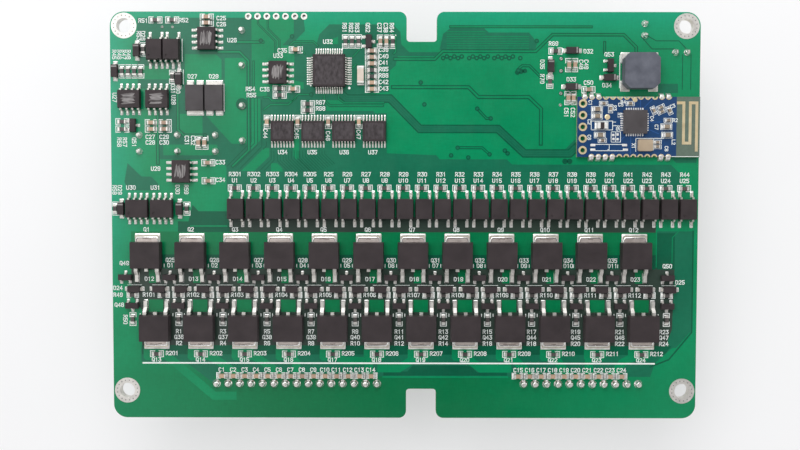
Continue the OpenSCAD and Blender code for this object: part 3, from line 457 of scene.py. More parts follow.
# Places of single part marks, as x,y and the turn of those that aren't level
SPOTS = {
    "R": "-62.6,33.3,-90 -61.5,33.3,-90 -60.5,33.3,-90 -59.5,33.3,-90 -62.35,-18.6 -60.8,-24,-90 "
         "-56.3,40.55 -47.6,40.65 -57.25,37.3,-90 -33.3,25.95 -33.1,24.65 -61.7,14.5,-90 "
         "-60.5,14.5,-90 -62.85,4.2,-90 -47.3,4.3,-90 -48.9,26,-90 -13,39.1,-90 -11.6,39.1,-90 "
         "-10.3,39.1,-90 -2.85,39.1,-90 -4.6,30.25 -4.6,28.9 -18.2,23.1 -18.2,21.8 31.9,35.75 "
         "29.55,28.2,-90",
    "D": "-62.35,-17.1 59.8,-15.7 -56.35,37.3,-90 -45.8,28.65 -41.2,28.65 -61.7,4.2,-90 -49.2,4.3,-90 "
         "-50,26,-90 39.4,34.1 35.8,28.1 43.5,26.85 29.55,31.3,-90",
    "Q": "-62.1,-20.8 -60.9,-11.7 57,-12.2 -58.5,14.5,-90 -8,39.1,-90 43.9,33.45",
    "C": "-39.5,41.1 -39.5,39.8 -55,15.65 -55,14.45 -52,15.65 -52,14.45 -47.1,14.9,-90 -45.75,14.9,-90 "
         "-39.9,10.2 -39.9,6.4 -26.4,34.2 -30.2,25.9 -5.5,39.1,-90 -4.15,39.1,-90 -4.6,34.4 -4.6,33 "
         "-4.6,31.65 -4.6,27.5 -4.6,26.1 -30.1,16.4,-90 -23.4,16.3,-90 -16.6,15.9,-90 -10,16.2,-90 "
         "37.9,31.3,-90 39,31.3,-90 39.5,27.4 34.8,21,-90 36.2,21,-90",
    "U": "-37.2,36.4 -62.6,24.1,-90 -49.9,23.6,-90 -53.9,8.8 -59.3,4.7 -54,4.7 -16.6,36.1 -27.3,33.1 "
         "-26.4,12.4 -20,12.4 -13.1,12.4 -6.9,12.4",
}


def print_labels():
    """Part marks with running numbers for each kind of part."""
    sheet = Sheet()
    used = {}

    def put(kind, x, y, turn=0):
        used[kind] = used.get(kind, 0) + 1
        digits = "%02d" if len(kind) > 1 else "%d"
        label(sheet, kind + digits % used[kind], x, y, turn)

    for count, place, marks in ROWS:
        for i in range(count):
            for kind, x, y in marks:
                put(kind, place(i) + x, y)
    for k in range(OPTOS):
        put("R3" if k < 5 else "R", opto_x(k) - 0.3, 7.65)
        put("U", opto_x(k) - 0.35, 6.3)
    for start, count in ((-39.9, 14), (24.8, 10)):
        for k in range(count):
            put("C", start + 2.5 * k, -34.95)
    for kind, spots in SPOTS.items():
        for spot in path(spots):
            put(kind, *spot)
    return sheet


# Straight marks beside the larger packages
LINES = [
    "-39,27 -39,21.2", "-47.95,36.6 -47.95,31.9", "-47.75,30 -47.75,27", "46.2,33.2 46.2,26.3",
    "54.4,31 54.4,28.6",
]


def diodes(in_row):
    """The diodes of the row between the transistors, or the others."""
    return [solid for solid in islands("diode_bodies") if (-18.5 < solid[:, 1].min() < -16.0) == in_row]


def print_lines():
    """White outlines: brackets round the chips, edges of packages and the long rule under the lower row."""
    sheet = Sheet()
    z = TOP + 0.034
    inside = 63.3
    for bodies, _, _ in CHIPS[:2]:
        for solid in islands(bodies):
            x0, y0, x1, y1 = outline_of(solid)
            x, y = middle_of(solid)
            # In two rows the chips stand close, and their brackets are tighter
            close = -36.8 < y < -36 or -19 < y < -18
            out, half = (1.26, 0.62) if close else (1.42, 0.66)
            for s in (-1, 1):
                line = [(s * 0.45, half), (s * out, half), (s * out, -half), (s * 0.45, -half)]
                if x1 - x0 <= y1 - y0:
                    line = [(-v, u) for u, v in line]
                sheet.ribbon([(max(-inside, min(inside, x + u)), y + v) for u, v in line], 0.15, z)
    for line in LINES:
        sheet.ribbon(path(line), 0.16, z)
    for x, y, r in ((-12.0, 26.2, 0.28), (-20.3, 26.7, 0.16)):
        sheet.disc(x, y, r, z)
    sheet.ribbon([(-57.0, -33.5), (54.4, -33.5)], 0.32, z)
    for i in range(COLUMNS):
        for s in (-3.55, 3.55):
            sheet.ribbon([(upper_x(i) + s, -11.9), (upper_x(i) + s, -12.5)], 0.16, z)
            sheet.ribbon([(lower_x(i) + s, -22.7), (lower_x(i) + s, -23.2)], 0.16, z)
    for solid in diodes(in_row=True):
        x0, _, x1, y1 = outline_of(solid)
        sheet.ribbon([(x0 - 0.2, y1 + 0.15), (x1 + 0.2, y1 + 0.15)], 0.1, z)
    return sheet


def wiped_tops(upright):
    """Rubbed zigzag patches on the eight-lead circuits of the upper half, upright ones or the others."""
    sheet = Sheet()
    for n, solid in enumerate(islands("soic_bodies")):
        x0, y0, _, x1, y1, z1 = box_of(solid)
        x, y = (x0 + x1) / 2, (y0 + y1) / 2
        if y > 5 and (y1 - y0 > x1 - x0) == upright:
            patch = []
            for s in (1, -1):
                for k in range(-6, 7):
                    u = s * (0.19 * k + 0.04 * math.sin(2.3 * k + n))
                    v = s * (1.15 + (0.3 if k % 2 else -0.1) + 0.28 * math.sin(1.9 * k + 1.7 * n + s))
                    patch.append((x + u + 0.14 * v, y + v) if upright else (x + v, y + u + 0.1 * v))
            sheet.field(patch, z1 + 0.005)
    return sheet


def sanded_tops():
    """Rough fields on the controller and the sixteen-lead switches."""
    sheet = Sheet()
    margin = 0.5
    for solid in islands("controller_body") + islands("tssop_bodies"):
        x0, y0, _, x1, y1, z1 = box_of(solid)
        outline = ring(x0 + margin, y0 + margin, x1 - margin, y1 - margin, 0.3, z1, 4)
        sheet.field([p[:2] for p in outline], z1 + 0.004)
    return sheet


def cathode_bands():
    """Pale band across one end of each diode, apart from the row between the transistors."""
    sheet = Sheet()
    near, far, side = 0.3, 0.62, 0.14
    for solid in diodes(in_row=False):
        x0, y0, _, x1, y1, z1 = box_of(solid)
        if x1 - x0 > y1 - y0:
            sheet.rect(x1 - far, y0 + side, x1 - near, y1 - side, z1 + 0.006)
        else:
            sheet.rect(x0 + side, y1 - far, x1 - side, y1 - near, z1 + 0.006)
    return sheet


def ring_dots():
    """Small vias in the rings of the mounting holes."""
    sheet = Sheet()
    for x in (-60.5, 60.5):
        for y in (-39.5, 39.5):
            for k in range(16):
                a = 2 * math.pi * (k + 0.5) / 16
                sheet.disc(x + 2.2 * math.cos(a), y + 2.2 * math.sin(a), 0.13, TOP + 0.054, 10)
    return sheet


# Copper under the mask: bare ground is darker, tracks and pours are brighter.
# Each layer lies a few thousandths above those that it crosses.

# Outlines of bare ground, painted shadow by the transistors and optocouplers, shaded ground and pours
BARE = [
    "-57.6,41.2 -29.4,41.2 -29.4,38.4 -27.6,36.2 -26.2,36.2 -24.1,38.4 -24.1,41.2 -21.8,41.2 "
    "-21.5,38.4 -24.2,35.7 -19,35.7 -18.4,37.7 -16.3,39.8 -2.6,39.8 -1,38.2 -0.8,35.6 0.9,33.9 "
    "7.3,33.9 6.4,33 -1.6,33 -2,31 -3.2,30 -3.4,25.4 -12,24.6 -13,23.6 -17,23.6 -17,21.3 -6.9,21.3 "
    "-6.4,20.8 -3.9,20.8 -3.9,12.2 6.8,11.8 7.6,10.9 22,10.9 23.2,9.8 57.5,9.8 59.6,7.8 59.6,4.3 "
    "-38.6,4.3 -38.6,9.2 -40.4,10.8 -53.2,10.8 -53.2,26 -57.6,26",
    "7.4,34.4 8.2,37.8 9.7,39 17,39 18,38.1 26.6,38.1 27.6,37 28.4,35.6 28,34.5",
    "-57.4,-30 58.4,-30 54.6,-33.4 53.6,-36.4 -41.6,-36.4 -41.6,-38 -47.6,-33.4 -57.4,-33.2",
    "54.2,27.2 58.8,27.2 58.8,25.2 54.2,25.2",
    "-60,10 -57,7.1 -54.9,7.1 -53.4,5.6 -53.4,4.1 -60,4.1 -60.7,6",
    "54.7,-4.6 62.3,-4.6 62.3,-26.4 59.2,-30 54.7,-30", "32.8,12.6 34.5,13 36.8,15.3 36.8,12.6",
    "57.5,11.3 63,11.3 63,10.2 58.6,10.2",
]
# Painted shadow: dark grey fields between the transistor rows and under the optocouplers
SHADOW_FIELDS = [
    "-59.4,-12.5 -59.4,-18.6 -57.2,-22 -57.2,-29.6 56.8,-29.6 58.2,-26 58.6,-12.5",
    "-38,-1.6 54.4,-1.6 54.4,-4.9 -38,-4.9",
]
# Shaded ground: painted shade, drawn in the colour of the gaps
SHADE = [
    "-57.3,-29.6 58.2,-29.6 56.6,-31.6 -57.3,-31.6",
    "-46,1 -44.7,-0.4 -38,-0.4 -38,-4.9 -49.2,-4.9 -49.2,-2.6 -46.9,-2.6",
    "54.7,-5 58.6,-5 58.6,-12.9 54.7,-12.9", "-59.4,-9.8 54.5,-9.8 54.5,-12.9 -59.4,-12.9",
    "1.8,-34 14.4,-34 15.9,-35.5 22.4,-35.5 22.4,-36.2 -4.6,-36.2 -4.6,-35.3 0.6,-35.3",
]
POURS = [
    "-33,40.9 -23.9,40.9 -23.9,37.9 -26.4,35.3 -24.2,35.3 -23.8,34.8 -23.8,27.8 -21.8,27.4 -21.8,26 "
    "-29.8,26 -29.8,24.4 -33,24.4",
    "-24.1,15.5 -22.9,15.5 -22.9,10.9 -23.5,10.9 -24.1,11.6",
    "-47.4,33.4 -40.7,33.4 -39.5,32.2 -39.5,27.4 -47.4,27.4",
    "-38.8,32.6 -34.2,32.6 -34.2,14.2 -37.4,14.2 -43.1,20.4 -38.8,20.4",
    "-48.6,20.6 -43.7,20.6 -43.7,16.4 -47.4,16.4 -48.6,17.4", "-52.2,14 -40.6,14 -40.2,11.7 -52.2,11.7",
    "-57.6,30.9 -50.6,30.9 -50.6,28 -57.6,28", "-33.2,23.9 -31.2,23.9 -31.2,15 -33.2,13",
    "-29.3,13.3 -30.4,13.3 -34.2,9.5 -35.4,8.3 -32.6,8.3 -29.3,11.5",
    "-28.9,10 -27.6,10 -26.4,8.8 -26.4,8.2 -28.9,8.2", "-17.8,35.6 -14.4,37.2 -14.4,35.6",
]
# Wide tracks from the lower transistors to the headers, and thin gaps between tracks
TAILS = [
    "-52.6,-31.4 -50.6,-33 -41.6,-40.7 -37.6,-40.7", "-43.4,-31.6 -41.6,-32.4 -36.4,-36",
    "-33.8,-31.6 -32,-32.4 -27,-36", "-25.2,-31.6 -23.6,-33.4 -23.6,-36", "-15.6,-31.6 -13,-33 -9.6,-33",
    "-6.6,-31.6 -7.8,-33.6 -7.8,-36", "3,-31.6 1,-33.2 -1.2,-34.6 -5,-34.6",
    "12.6,-31.6 15,-33.4 16.6,-34.6 22.4,-34.6", "22.2,-31.6 24.4,-33 27.4,-36",
    "31.8,-31.6 33.6,-33.2 35.4,-36", "41.2,-31.6 40.2,-33.2 40.2,-36", "50.6,-31.6 47.4,-33.4 45.4,-36",
]
THREADS = [
    "-33.2,24 -33.2,14.6 -38.4,9.4", "-32.5,24 -32.5,14.3 -37.6,9.2", "-31.8,24 -31.8,14 -36.6,9.2",
    "-30.9,23.6 -30.9,13.6 -35.6,8.9", "-29.9,14.6 -29.9,13.7 -30.6,13", "-28.9,14.6 -28.9,10.8 -31.6,8.2",
    "-28.3,12.6 -28.3,10.6 -30.4,8.4", "-22.9,12.6 -22.9,10.9 -20.2,8.2",
]
# Line, width of the track, and width of the gap on each side of it
TRACKS = [
    ("-2.2,32.4 6.4,32.4 8.1,34.1 28.1,34.1 31.7,37.65 47,37.65 49.7,35 49.7,33", 0.36, 0.2),
    ("-2.6,26.4 13.7,26.4 15.8,24.3 26.7,24.3 29.35,21.8 29.35,14.3", 0.42, 0.22),
    ("9.8,39.32 40,39.32", 0.28, 0.16),
    ("15.6,21.8 17.6,19.7 18.6,19.7", 0.2, 0.22),
    ("11.4,13.4 16.7,13.4 18.4,11.9", 0.2, 0.22),
    ("24.4,30.3 25.2,31 26.8,31 30,27.9", 0.24, 0.2),
    ("42.9,36 42.9,33.9", 0.24, 0.2),
    ("52.3,37.3 54,36.36 58.85,36.36 60.75,34.36", 0, 0.09),
    ("50.7,37.3 53.1,34.63 58,34.63", 0, 0.09),
    ("59.7,33.4 59.7,26", 0, 0.08),
    ("61.5,33.4 61.5,26", 0, 0.08),
    ("-31.6,41 -31.6,39.9 -27.9,36.2 -27.9,33.4", 0.16, 0.15),
    ("-29.5,41 -29.5,38.9 -27,36.4 -27,33.6", 0.16, 0.15),
    ("-36,36 -30.6,36", 0.4, 0.16),
    ("-40.2,33.9 -35.6,33.9 -33.7,32 -33.7,12.8 -37.2,9.4", 0.32, 0.2),
    ("-32.6,31.8 -32.6,24.4", 0.2, 0.16),
    ("-53.4,25.8 -53.4,10", 0.36, 0.2),
    ("-49,26 -49,17.2 -47.8,16 -43.2,16", 0.3, 0.2),
    ("58,-11.4 58,-6 59.6,-4.4", 0.16, 0),
    ("62.5,-4.6 62.5,-26.6 57.6,-32.6 53.6,-34.2", 0, 0.16),
    ("-4.6,-36.5 22.4,-36.5", 0.42, 0),
    ("-38.6,-3.6 -46.4,-3.6", 0.3, 0.16),
    ("-24.6,35.5 -23.9,36.1 -19.7,36.1 -18.8,35.3", 0.22, 0.16),
    ("-30.4,24.2 -29.4,24.2 -28.6,23.4 -24.4,23.4 -23,24.8 -20.2,24.8", 0.22, 0.14),
    ("-30.4,21.6 -29,22.6 -25.2,22.6 -23.6,24", 0.22, 0.14),
    ("-17.4,24.7 -17.4,23.6 -16.2,22.4 -4.8,22.4", 0.26, 0.14),
    ("-14.3,24.7 -14.3,23.9 -13.2,23.1 -4.6,23.1", 0.2, 0.14),
    ("-21.6,33.6 -22.4,34.4 -22.4,35.4", 0.2, 0.14),
    ("-11.2,32.9 -9.6,34.6 -9.6,35.4", 0.2, 0.14),
    ("-11.2,30.6 -10.6,31.2", 0.2, 0.14),
    ("-2.4,33.6 -2,34 -2,37.2 -3.2,38.4", 0.24, 0.14),
]
# Line along which three tracks run side by side
BUS = "-13.8,25 -12.6,23.95 -3.2,23.95 3.2,17.45 20.1,17.45 25.8,12.2 35.6,12.2 37,13.5"
# Clearings in the copper with their radius, vias under the mask, and soldered vias with their size
ANTIPADS = ("24.2,29.6,0.55 25,29.8,0.55 25.8,29.9,0.5 33.6,32.5,0.5 33.6,29.9,0.5 33.6,25.1,0.5 "
            "34.6,10.5,0.6 35.6,10.5,0.6")
TENTED = ("3.4,27.4 4.2,22.7 10,11.75 13.7,11.3 21.6,12.8 22.2,12.2 18.5,19.7 15.6,21.8 11.4,13.4 "
          "18.3,12 28.3,36.3 24.4,30 -24.3,37.2 -31,36.3 -43.2,16 -20.2,24.8")
VIAS = ("33.6,32.5,0.85 33.6,29.9,0.85 33.6,25.1,0.85 33.5,22.6,0.8 -52.2,39.2,0.7 -50,39.2,0.7 "
        "-57.4,16,0.8")
# First place of each run of via lands, and their number
BLOBS = [(8.2, 6), (13.8, 6), (19.2, 6), (24.8, 1)]


def copper():
    """Bare ground, painted shadow, painted shade with lead patches, gaps with painted shade, and the pours
    and tracks.
    """
    bare, dark, shade_and_patches, gaps, bright = sheets(5)
    # Dark ground is painted shadow
    for sheet, outlines, z in ((bare, BARE, 0.006), (dark, SHADOW_FIELDS, 0.008), (bright, POURS, 0.012)):
        for outline in outlines:
            sheet.field(path(outline), TOP + z)
    # Shaded ground is painted shade
    for n, outline in enumerate(SHADE):
        gaps.field(path(outline), TOP + 0.0095 + 0.0002 * n)
    for n, line in enumerate(TAILS):
        bright.ribbon(path(line), 1.8, TOP + 0.0125 + 0.0002 * n)
    for line in THREADS:
        gaps.ribbon(path(line), 0.15, TOP + 0.0155)
    # Painted shade between the upper transistors
    shade_and_patches.rect(-59.4, -9.9, 54.5, -4.8, TOP + 0.007)
    for i in range(COLUMNS):
        x = upper_x(i)
        shade_and_patches.rect(x + 0.2, -16.0, x + 2.0, -13.1, TOP + 0.012)
        x = lower_x(i)
        shade_and_patches.rect(x - 1.7, -22.3, x + 1.5, -19.6, TOP + 0.012)
        land = path("-2.9,-30.4 -2.9,-32.4 -2.4,-32.9 1.2,-32.9 1.9,-32 1.9,-30.4")
        bright.field([(x + u, v) for u, v in land], TOP + 0.0152)
        gaps.rect(x + 5.0, -5.4, x + 5.9, -12.9, TOP + 0.011)
    for k in range(OPTOS):
        bright.rect(opto_x(k) - 0.75, 2.3, opto_x(k) + 0.75, 4.1, TOP + 0.012)
    for n, (line, width, gap) in enumerate(TRACKS):
        if gap:
            gaps.ribbon(path(line), width + 2 * gap, TOP + 0.016 + 0.0004 * n)
        if width:
            bright.ribbon(path(line), width, TOP + 0.036)
    gaps.ribbon(path(BUS), 1.8, TOP + 0.0335)
    for d in (-0.45, 0.0, 0.45):
        bare.ribbon(beside(path(BUS), d), 0.4, TOP + 0.037)
    for x, y, r in path(ANTIPADS):
        gaps.disc(x, y, r, TOP + 0.0345)
    for x0, n in BLOBS:
        for k in range(n):
            x, y = x0 + 0.8 * k, 32.75 + (0.22 if k % 2 else -0.12)
            gaps.disc(x, y, 0.5, TOP + 0.0345 + 0.0001 * k)
            bright.disc(x, y, 0.22, TOP + 0.038)
    for x, y in path(TENTED):
        gaps.disc(x, y, 0.5, TOP + 0.0385)
        bare.disc(x, y, 0.26, TOP + 0.042)
    gaps.disc(-35.15, 22.7, 1.3, TOP + 0.0338, 20)
    for k in range(18):
        x = -27.5 + 0.6 * k
        bend, end = 10.5 + 0.09 * k, 8.1 + 0.2 * max(0, k - 8)
        gaps.ribbon([(x, 12.7), (x, bend), (x + bend - end, end)], 0.14, TOP + 0.0155)
    for k in range(8):
        y = 34.75 + 0.5 * k
        bright.ribbon([(9.0, y), (26.6 if k < 6 else 17.2, y)], 0.17, TOP + 0.03)
    return bare, dark, shade_and_patches, gaps, bright


def vias():
    """Soldered vias, each with a dimple."""
    sheet = Sheet()
    for x, y, size in path(VIAS):
        profile = ((0.42, 0), (0.4, 0.04), (0.24, 0.045), (0.17, 0.02), (0.1, -0.02))
        sheet.lathe(x, y, TOP + 0.036, [(size * r, up) for r, up in profile], 16)
    return sheet


# Underside, drawn as it is seen from below


def turned(sheet):
    """The sheet turned over from the component side to the underside."""
    sheet.points = [(-x, y, TOP - z) for x, y, z in sheet.points]
    return sheet


def seen(line):
    """A line of the board as it runs when seen from below."""
    return [(-x, y) for x, y in line]


def underside():
    """Gaps between the pours under the transistors, tracks to the headers and the controllers, and print."""
    gaps, bright, silk = sheets(3)
    left, right = lower_x(0) - PITCH / 2, lower_x(COLUMNS - 1) + PITCH / 2
    near, far = -33.0, -3.4
    for i in range(COLUMNS + 1):
        gaps.ribbon(seen([(left + PITCH * i, near), (left + PITCH * i, far)]), 0.5, TOP + 0.006)
    for y in (far, near):
        gaps.ribbon(seen([(left, y), (right, y)]), 0.5, TOP + 0.007)
    for i, pin in enumerate([-41.0 + 5.0 * k for k in range(7)] + [26.0 + 5.0 * k for k in range(5)]):
        x = lower_x(i)
        line = seen([(x, -31.5), (x, -33.2), (pin, -35.6), (pin, -38.0)])
        gaps.ribbon(line, 2.3, TOP + 0.009 + 0.0003 * i)
        bright.ribbon(line, 1.8, TOP + 0.016)
        for u in (-1.6, 0.0, 1.6):
            for vx, vy in ((upper_x(i), -7.4), (upper_x(i), -9.0), (x, -26.0), (x, -27.6)):
                gaps.disc(-vx - u, vy, 0.32, TOP + 0.0135, 10)
                bright.disc(-vx - u, vy, 0.17, TOP + 0.017, 10)
    for k in range(OPTOS):
        x, to, y = opto_x(k), -28.0 + 0.95 * k, 6.0 + 0.42 * max(0, k - 3)
        c = min(1.0, 0.4 * (x - to))
        line = [(x, 4.4), (x, y - c), (x - c, y), (to + c, y), (to, y + c), (to, 16.8)]
        if k < 3:
            line = [(x, 4.4), (x, 6.0), (to, 6.0 + to - x), (to, 16.8)]
        gaps.ribbon(seen(line), 0.38, TOP + 0.006 + 0.0002 * k)
        bright.ribbon(seen(line), 0.18, TOP + 0.014)
        gaps.disc(-x, 4.4, 0.45, TOP + 0.0145, 12)
        bright.disc(-x, 4.4, 0.26, TOP + 0.018, 12)
    under_print(silk)
    return gaps, bright, silk


def under_print(silk):
    """Outlines and marks of the headers, and marks of the capacitors."""
    z, margin = TOP + 0.022, 0.4
    headers = (("left_header_housing", "J1", "15"), ("right_header_housing", "J2", "11"))
    for node, mark, last in headers:
        (x0, y0, _), (x1, y1, _) = (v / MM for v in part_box(node))
        corners = ((x0 - margin, y0 - margin), (x1 + margin, y0 - margin),
                   (x1 + margin, y1 + margin), (x0 - margin, y1 + margin))
        silk.ribbon(seen(corners), 0.18, z, closed=True)
        label(silk, mark, -(x0 + x1) / 2, y1 + 1.7, size=1.3, weight=0.2)
        label(silk, "1", -x0 - 2.7, y1 + 1.5, size=1.0, weight=0.17)
        label(silk, last, -x1 + 2.7, y1 + 1.5, size=1.0, weight=0.17)
    singles = (("probe_header_housings", "J", 3, 1.3), ("filter_cap_sleeves", "C", 93, 1.2))
    for node, kind, first, size in singles:
        for n, solid in enumerate(islands(node)):
            x0, y0, x1, _ = outline_of(solid)
            label(silk, "%s%d" % (kind, first + n), -(x0 + x1) / 2, y0 - 1.4, size=size, weight=0.2)
    for solid in islands("storage_cap_leads")[::2]:
        x, y = solid[:, 0].min() - 2.0, middle_of(solid)[1]
        silk.ribbon([(-x - 0.7, y), (-x + 0.7, y)], 0.2, z)
        silk.ribbon([(-x, y - 0.7), (-x, y + 0.7)], 0.2, z + 0.002)


def on_cap(solid, lying, u, v, along):
    """A point of a lying or standing capacitor, from its offsets across the axis and its place along it."""
    x, y, z = (solid.min(0) + solid.max(0)) / 2
    return (along, y + u, z + v) if lying else (x + u, y + v, along)


def cap_marks():
    """Pale stripe with dark dashes along each capacitor, and the scored cross in the end of its can."""
    pale, dashes, scores = sheets(3)
    for kind, lying, middle, dash in (("storage", True, -120, 1.7), ("filter", False, -60, 1.0)):
        for solid in islands(kind + "_cap_sleeves"):
            x0, y0, z0, x1, y1, z1 = box_of(solid)
            near, far = (x0 + 2.2, x1 - 2.2) if lying else (z0 + 1.6, z1 - 1.4)
            strips = [(pale, 16, near, far, 0.012)]
            for k in range(int((far - near - dash) / (2.2 * dash))):
                start = near + dash * (0.7 + 2.2 * k)
                strips.append((dashes, 3, start, start + dash, 0.024))
            for sheet, half, start, end, up in strips:
                r = (y1 - y0) / 2 + up
                angles = [math.radians(middle - half + half * k / 4) for k in range(9)]
                sheet.add([on_cap(solid, lying, r * math.cos(a), r * math.sin(a), along)
                           for along in (start, end) for a in angles],
                          [[k, k + 1, 10 + k, 9 + k] for k in range(8)])
        for solid in islands(kind + "_cap_cans"):
            _, y0, z0, x1, y1, _ = box_of(solid)
            reach, half = 0.2 * (y1 - y0), 0.1
            score = ((-reach, -half), (reach, -half), (reach, half), (-reach, half))
            for turn, up in ((45, 0.006), (135, 0.008)):
                c, s = math.cos(math.radians(turn)), math.sin(math.radians(turn))
                side, along = (1, x1 + up) if lying else (-1, z0 - up)
                scores.add([on_cap(solid, lying, side * (c * u - s * v), s * u + c * v, along)
                            for u, v in score], [[0, 1, 2, 3]])
    return pale, dashes, scores


# Radio module, drawn on its own top face

RADIO_X, RADIO_Y, RADIO_DEPTH = 37.0, 11.4, 12.9
RADIO_TOP = TOP + 0.8
# Steps of an edge joint: half its width, its reach in and out of the module's edge, and its place above
# the board's underside
EDGE_JOINT = ((0.58, 0.0, 0.88, 1.61), (0.56, 0.0, 0.86, 1.68), (0.52, -0.1, 0.74, 1.95),
              (0.49, -0.35, 0.5, 2.3), (0.46, -0.5, 0.3, 2.44), (0.36, -0.42, 0.14, 2.52))
# Middles of the bare pads, square ones and long ones
SQUARE_PADS = "44.75,16.1 45.7,16.2 44.8,15.25 45.7,15.2"
LONG_PADS = "40.4,13.95 40.4,12.95 47.2,13.95 47.4,12.95"
RADIO_LINES = [
    "41,14.1 46.6,14.1", "41,12.75 46.9,12.75", "43.6,13 43.9,13 43.9,13.9",
    "44.3,14.6 46.3,14.6 46.3,16.8 44.3,16.8", "45.25,14.6 45.25,16.8", "44.3,14.6 44.3,16.8",
    "40,17.2 40,19.1 44.6,19.1 44.6,17.2 40,17.2", "49.6,15.4 55.6,15.4", "49.6,15.4 49.6,12.6",
    "53.4,15.4 53.4,12.9", "57.4,11.52 63.1,11.52", "43,24.2 53.4,24.2",
]
RADIO_LABELS = [
    ("C1", 39.75, 23, -90), ("L1", 44.9, 18.4, -90), ("R1", 46, 20.3, -90), ("C2", 39.6, 18.9, -90),
    ("X1", 49.1, 13.8, -90), ("C3", 57.4, 22.3, 20), ("C4", 53, 19.6, -90), ("R2", 58, 19.3, 0),
    ("L2", 57.7, 14.6, -90), ("C5", 46.3, 22.6, 0), ("R3", 45, 21.9, -90), ("C6", 39.6, 15.6, -90),
    ("R4", 46.8, 23.2, 0), ("C7", 54, 17.8, -90), ("C8", 56.2, 13.2, -90), ("R5", 45.7, 17.6, -90),
]
RADIO_TRACKS = [
    "38.9,23 40.4,21.6", "38.9,20.5 40.6,20.5", "47.5,21.7 47.5,23.2 46.6,24", "48,21.7 48,22.8",
    "49,21.7 49,23.2", "50.5,21.7 50.5,23.8", "51,21.7 53.2,23.9", "52.1,20.4 54,22", "52.1,18.9 55,18.9",
    "52.1,17.4 54.5,16.4", "47.5,16.1 46.2,14.8", "48.5,16.1 48.5,12.2", "49.5,16.1 49.5,15.6",
]


def chip_ends(length, width, height, share):
    """The two metal ends of a chip part about the origin, with their solder."""
    part = Sheet()
    for s in (-1, 1):
        x0, x1 = sorted((s * length * (0.5 - share), s * (length / 2 + 0.02)))
        part.block(x0, -width / 2 - 0.02, RADIO_TOP, x1, width / 2 + 0.02, RADIO_TOP + height + 0.02, 0.04)
        foot = (x0, -width / 2, x1, width / 2)
        joint(part, foot, pad_round(foot, (s, 0), 0.17 * length, 0.05, 0.08), height * 0.6, RADIO_TOP)
    return part


def solder_pad(sheet, x, y, half, top, rise):
    """Low heap of solder on a bare pad; half and top are half its widths, below and above."""
    foot, pad = ((x - a, y - b, x + a, y + b) for a, b in (top, half))
    joint(sheet, foot, pad, rise, RADIO_TOP, cap=True)


def radio_parts(silk, pads, coil):
    """Ends, solder and printed frame of each chip part, and the wound body of the long ones."""
    z = RADIO_TOP
    for solid in islands("radio_chip_parts"):
        flat = np.unique(solid[:, :2], axis=0)
        x, y = flat.mean(0)
        sides = sorted((corner - flat[0] for corner in flat[1:]), key=lambda v: v @ v)
        width, length = (math.hypot(*side) for side in sides[:2])
        turn = math.degrees(math.atan2(sides[1][1], sides[1][0]))
        height = solid[:, 2].max() - z
        long = length > 1.8
        pads.placed(chip_ends(length, width, height, 0.3 if long else 0.16), x, y, turn)
        if long:
            box = Sheet()
            a, b = length * 0.21, width / 2 + 0.03
            box.block(-a, -b, z, a, b, z + height + 0.015, 0.05)
            coil.placed(box, x, y, turn)
        box = Sheet()
        a, b = length / 2 + 0.4, width / 2 + 0.22
        box.ribbon([(-a, -b), (a, -b), (a, b), (-a, b)], 0.1, z + 0.02, closed=True)
        silk.placed(box, x, y, turn)


def radio_details():
    """Print, pads, tracks, wound bodies and edge joints of the radio module."""
    silk, pads, tracks, coil, blobs = sheets(5)
    z = RADIO_TOP
    radio_parts(silk, pads, coil)
    cx, cy = RADIO_X + 12.3, RADIO_Y + 7.5
    for k in range(8):
        d = -1.75 + 0.5 * k
        for s in (2.7, -2.7):
            solder_pad(pads, cx + d, cy + s, (0.15, 0.34), (0.09, 0.204), 0.06)
            solder_pad(pads, cx - s, cy + d, (0.34, 0.15), (0.204, 0.09), 0.06)
    for x, y in path(SQUARE_PADS):
        solder_pad(pads, x, y, (0.27, 0.27), (0.16, 0.16), 0.08)
    for x, y in path(LONG_PADS):
        solder_pad(pads, x, y, (0.55, 0.27), (0.4, 0.16), 0.08)
    for i, s in [(i, 1) for i in (0, 1, 2, 11, 12)] + [(i, -1) for i in (1, 2, 3, 4, 11, 12)]:
        x = RADIO_X + 1.6 + 1.5 * i
        edge = RADIO_Y + RADIO_DEPTH if s > 0 else RADIO_Y
        rings = []
        for half, inner, outer, up in EDGE_JOINT:
            a, b = sorted((edge + s * inner, edge + s * outer))
            rings.append(ring(x - half, a, x + half, b, 0.16, up))
        blobs.loft(rings, cap=True)
    for line in RADIO_LINES:
        silk.ribbon(path(line), 0.12, z + 0.02)
    for text, x, y, turn in RADIO_LABELS:
        label(silk, text, x, y, turn, size=0.66, z=z + 0.03, weight=0.13)
    for line in RADIO_TRACKS:
        tracks.ribbon(path(line), 0.16, z + 0.012)
    return silk, pads, tracks, coil, blobs


def radio_dots():
    """Two bare test points on the module."""
    sheet = Sheet()
    for x, y, r in ((43.46, 19.95, 0.58), (49.35, 23.65, 0.52)):
        profile = ((1.0, 0.0), (0.94, 0.035), (0.5, 0.05), (0.1, 0.052))
        sheet.lathe(x, y, RADIO_TOP, [(r * share, up) for share, up in profile], 24)
    return sheet


# Materials: lengths are metres from here on


def feed(tree, node, inputs):
    """Give a node its inputs, each a socket to link or a value."""
    for name, value in inputs.items():
        if isinstance(value, bpy.types.NodeSocket):
            tree.links.new(value, node.inputs[name])
        else:
            node.inputs[name].default_value = value


def new_node(tree, kind, inputs, **settings):
    """New shader node with its settings and inputs."""
    node = tree.nodes.new("ShaderNode" + kind)
    for name, value in settings.items():
        setattr(node, name, value)
    feed(tree, node, inputs)
    return node


def new_material(name):
    """New material with its tree and its shader."""
    material = bpy.data.materials.new(name)
    material.use_nodes = True
    tree = material.node_tree
    return material, tree, tree.nodes["Principled BSDF"]


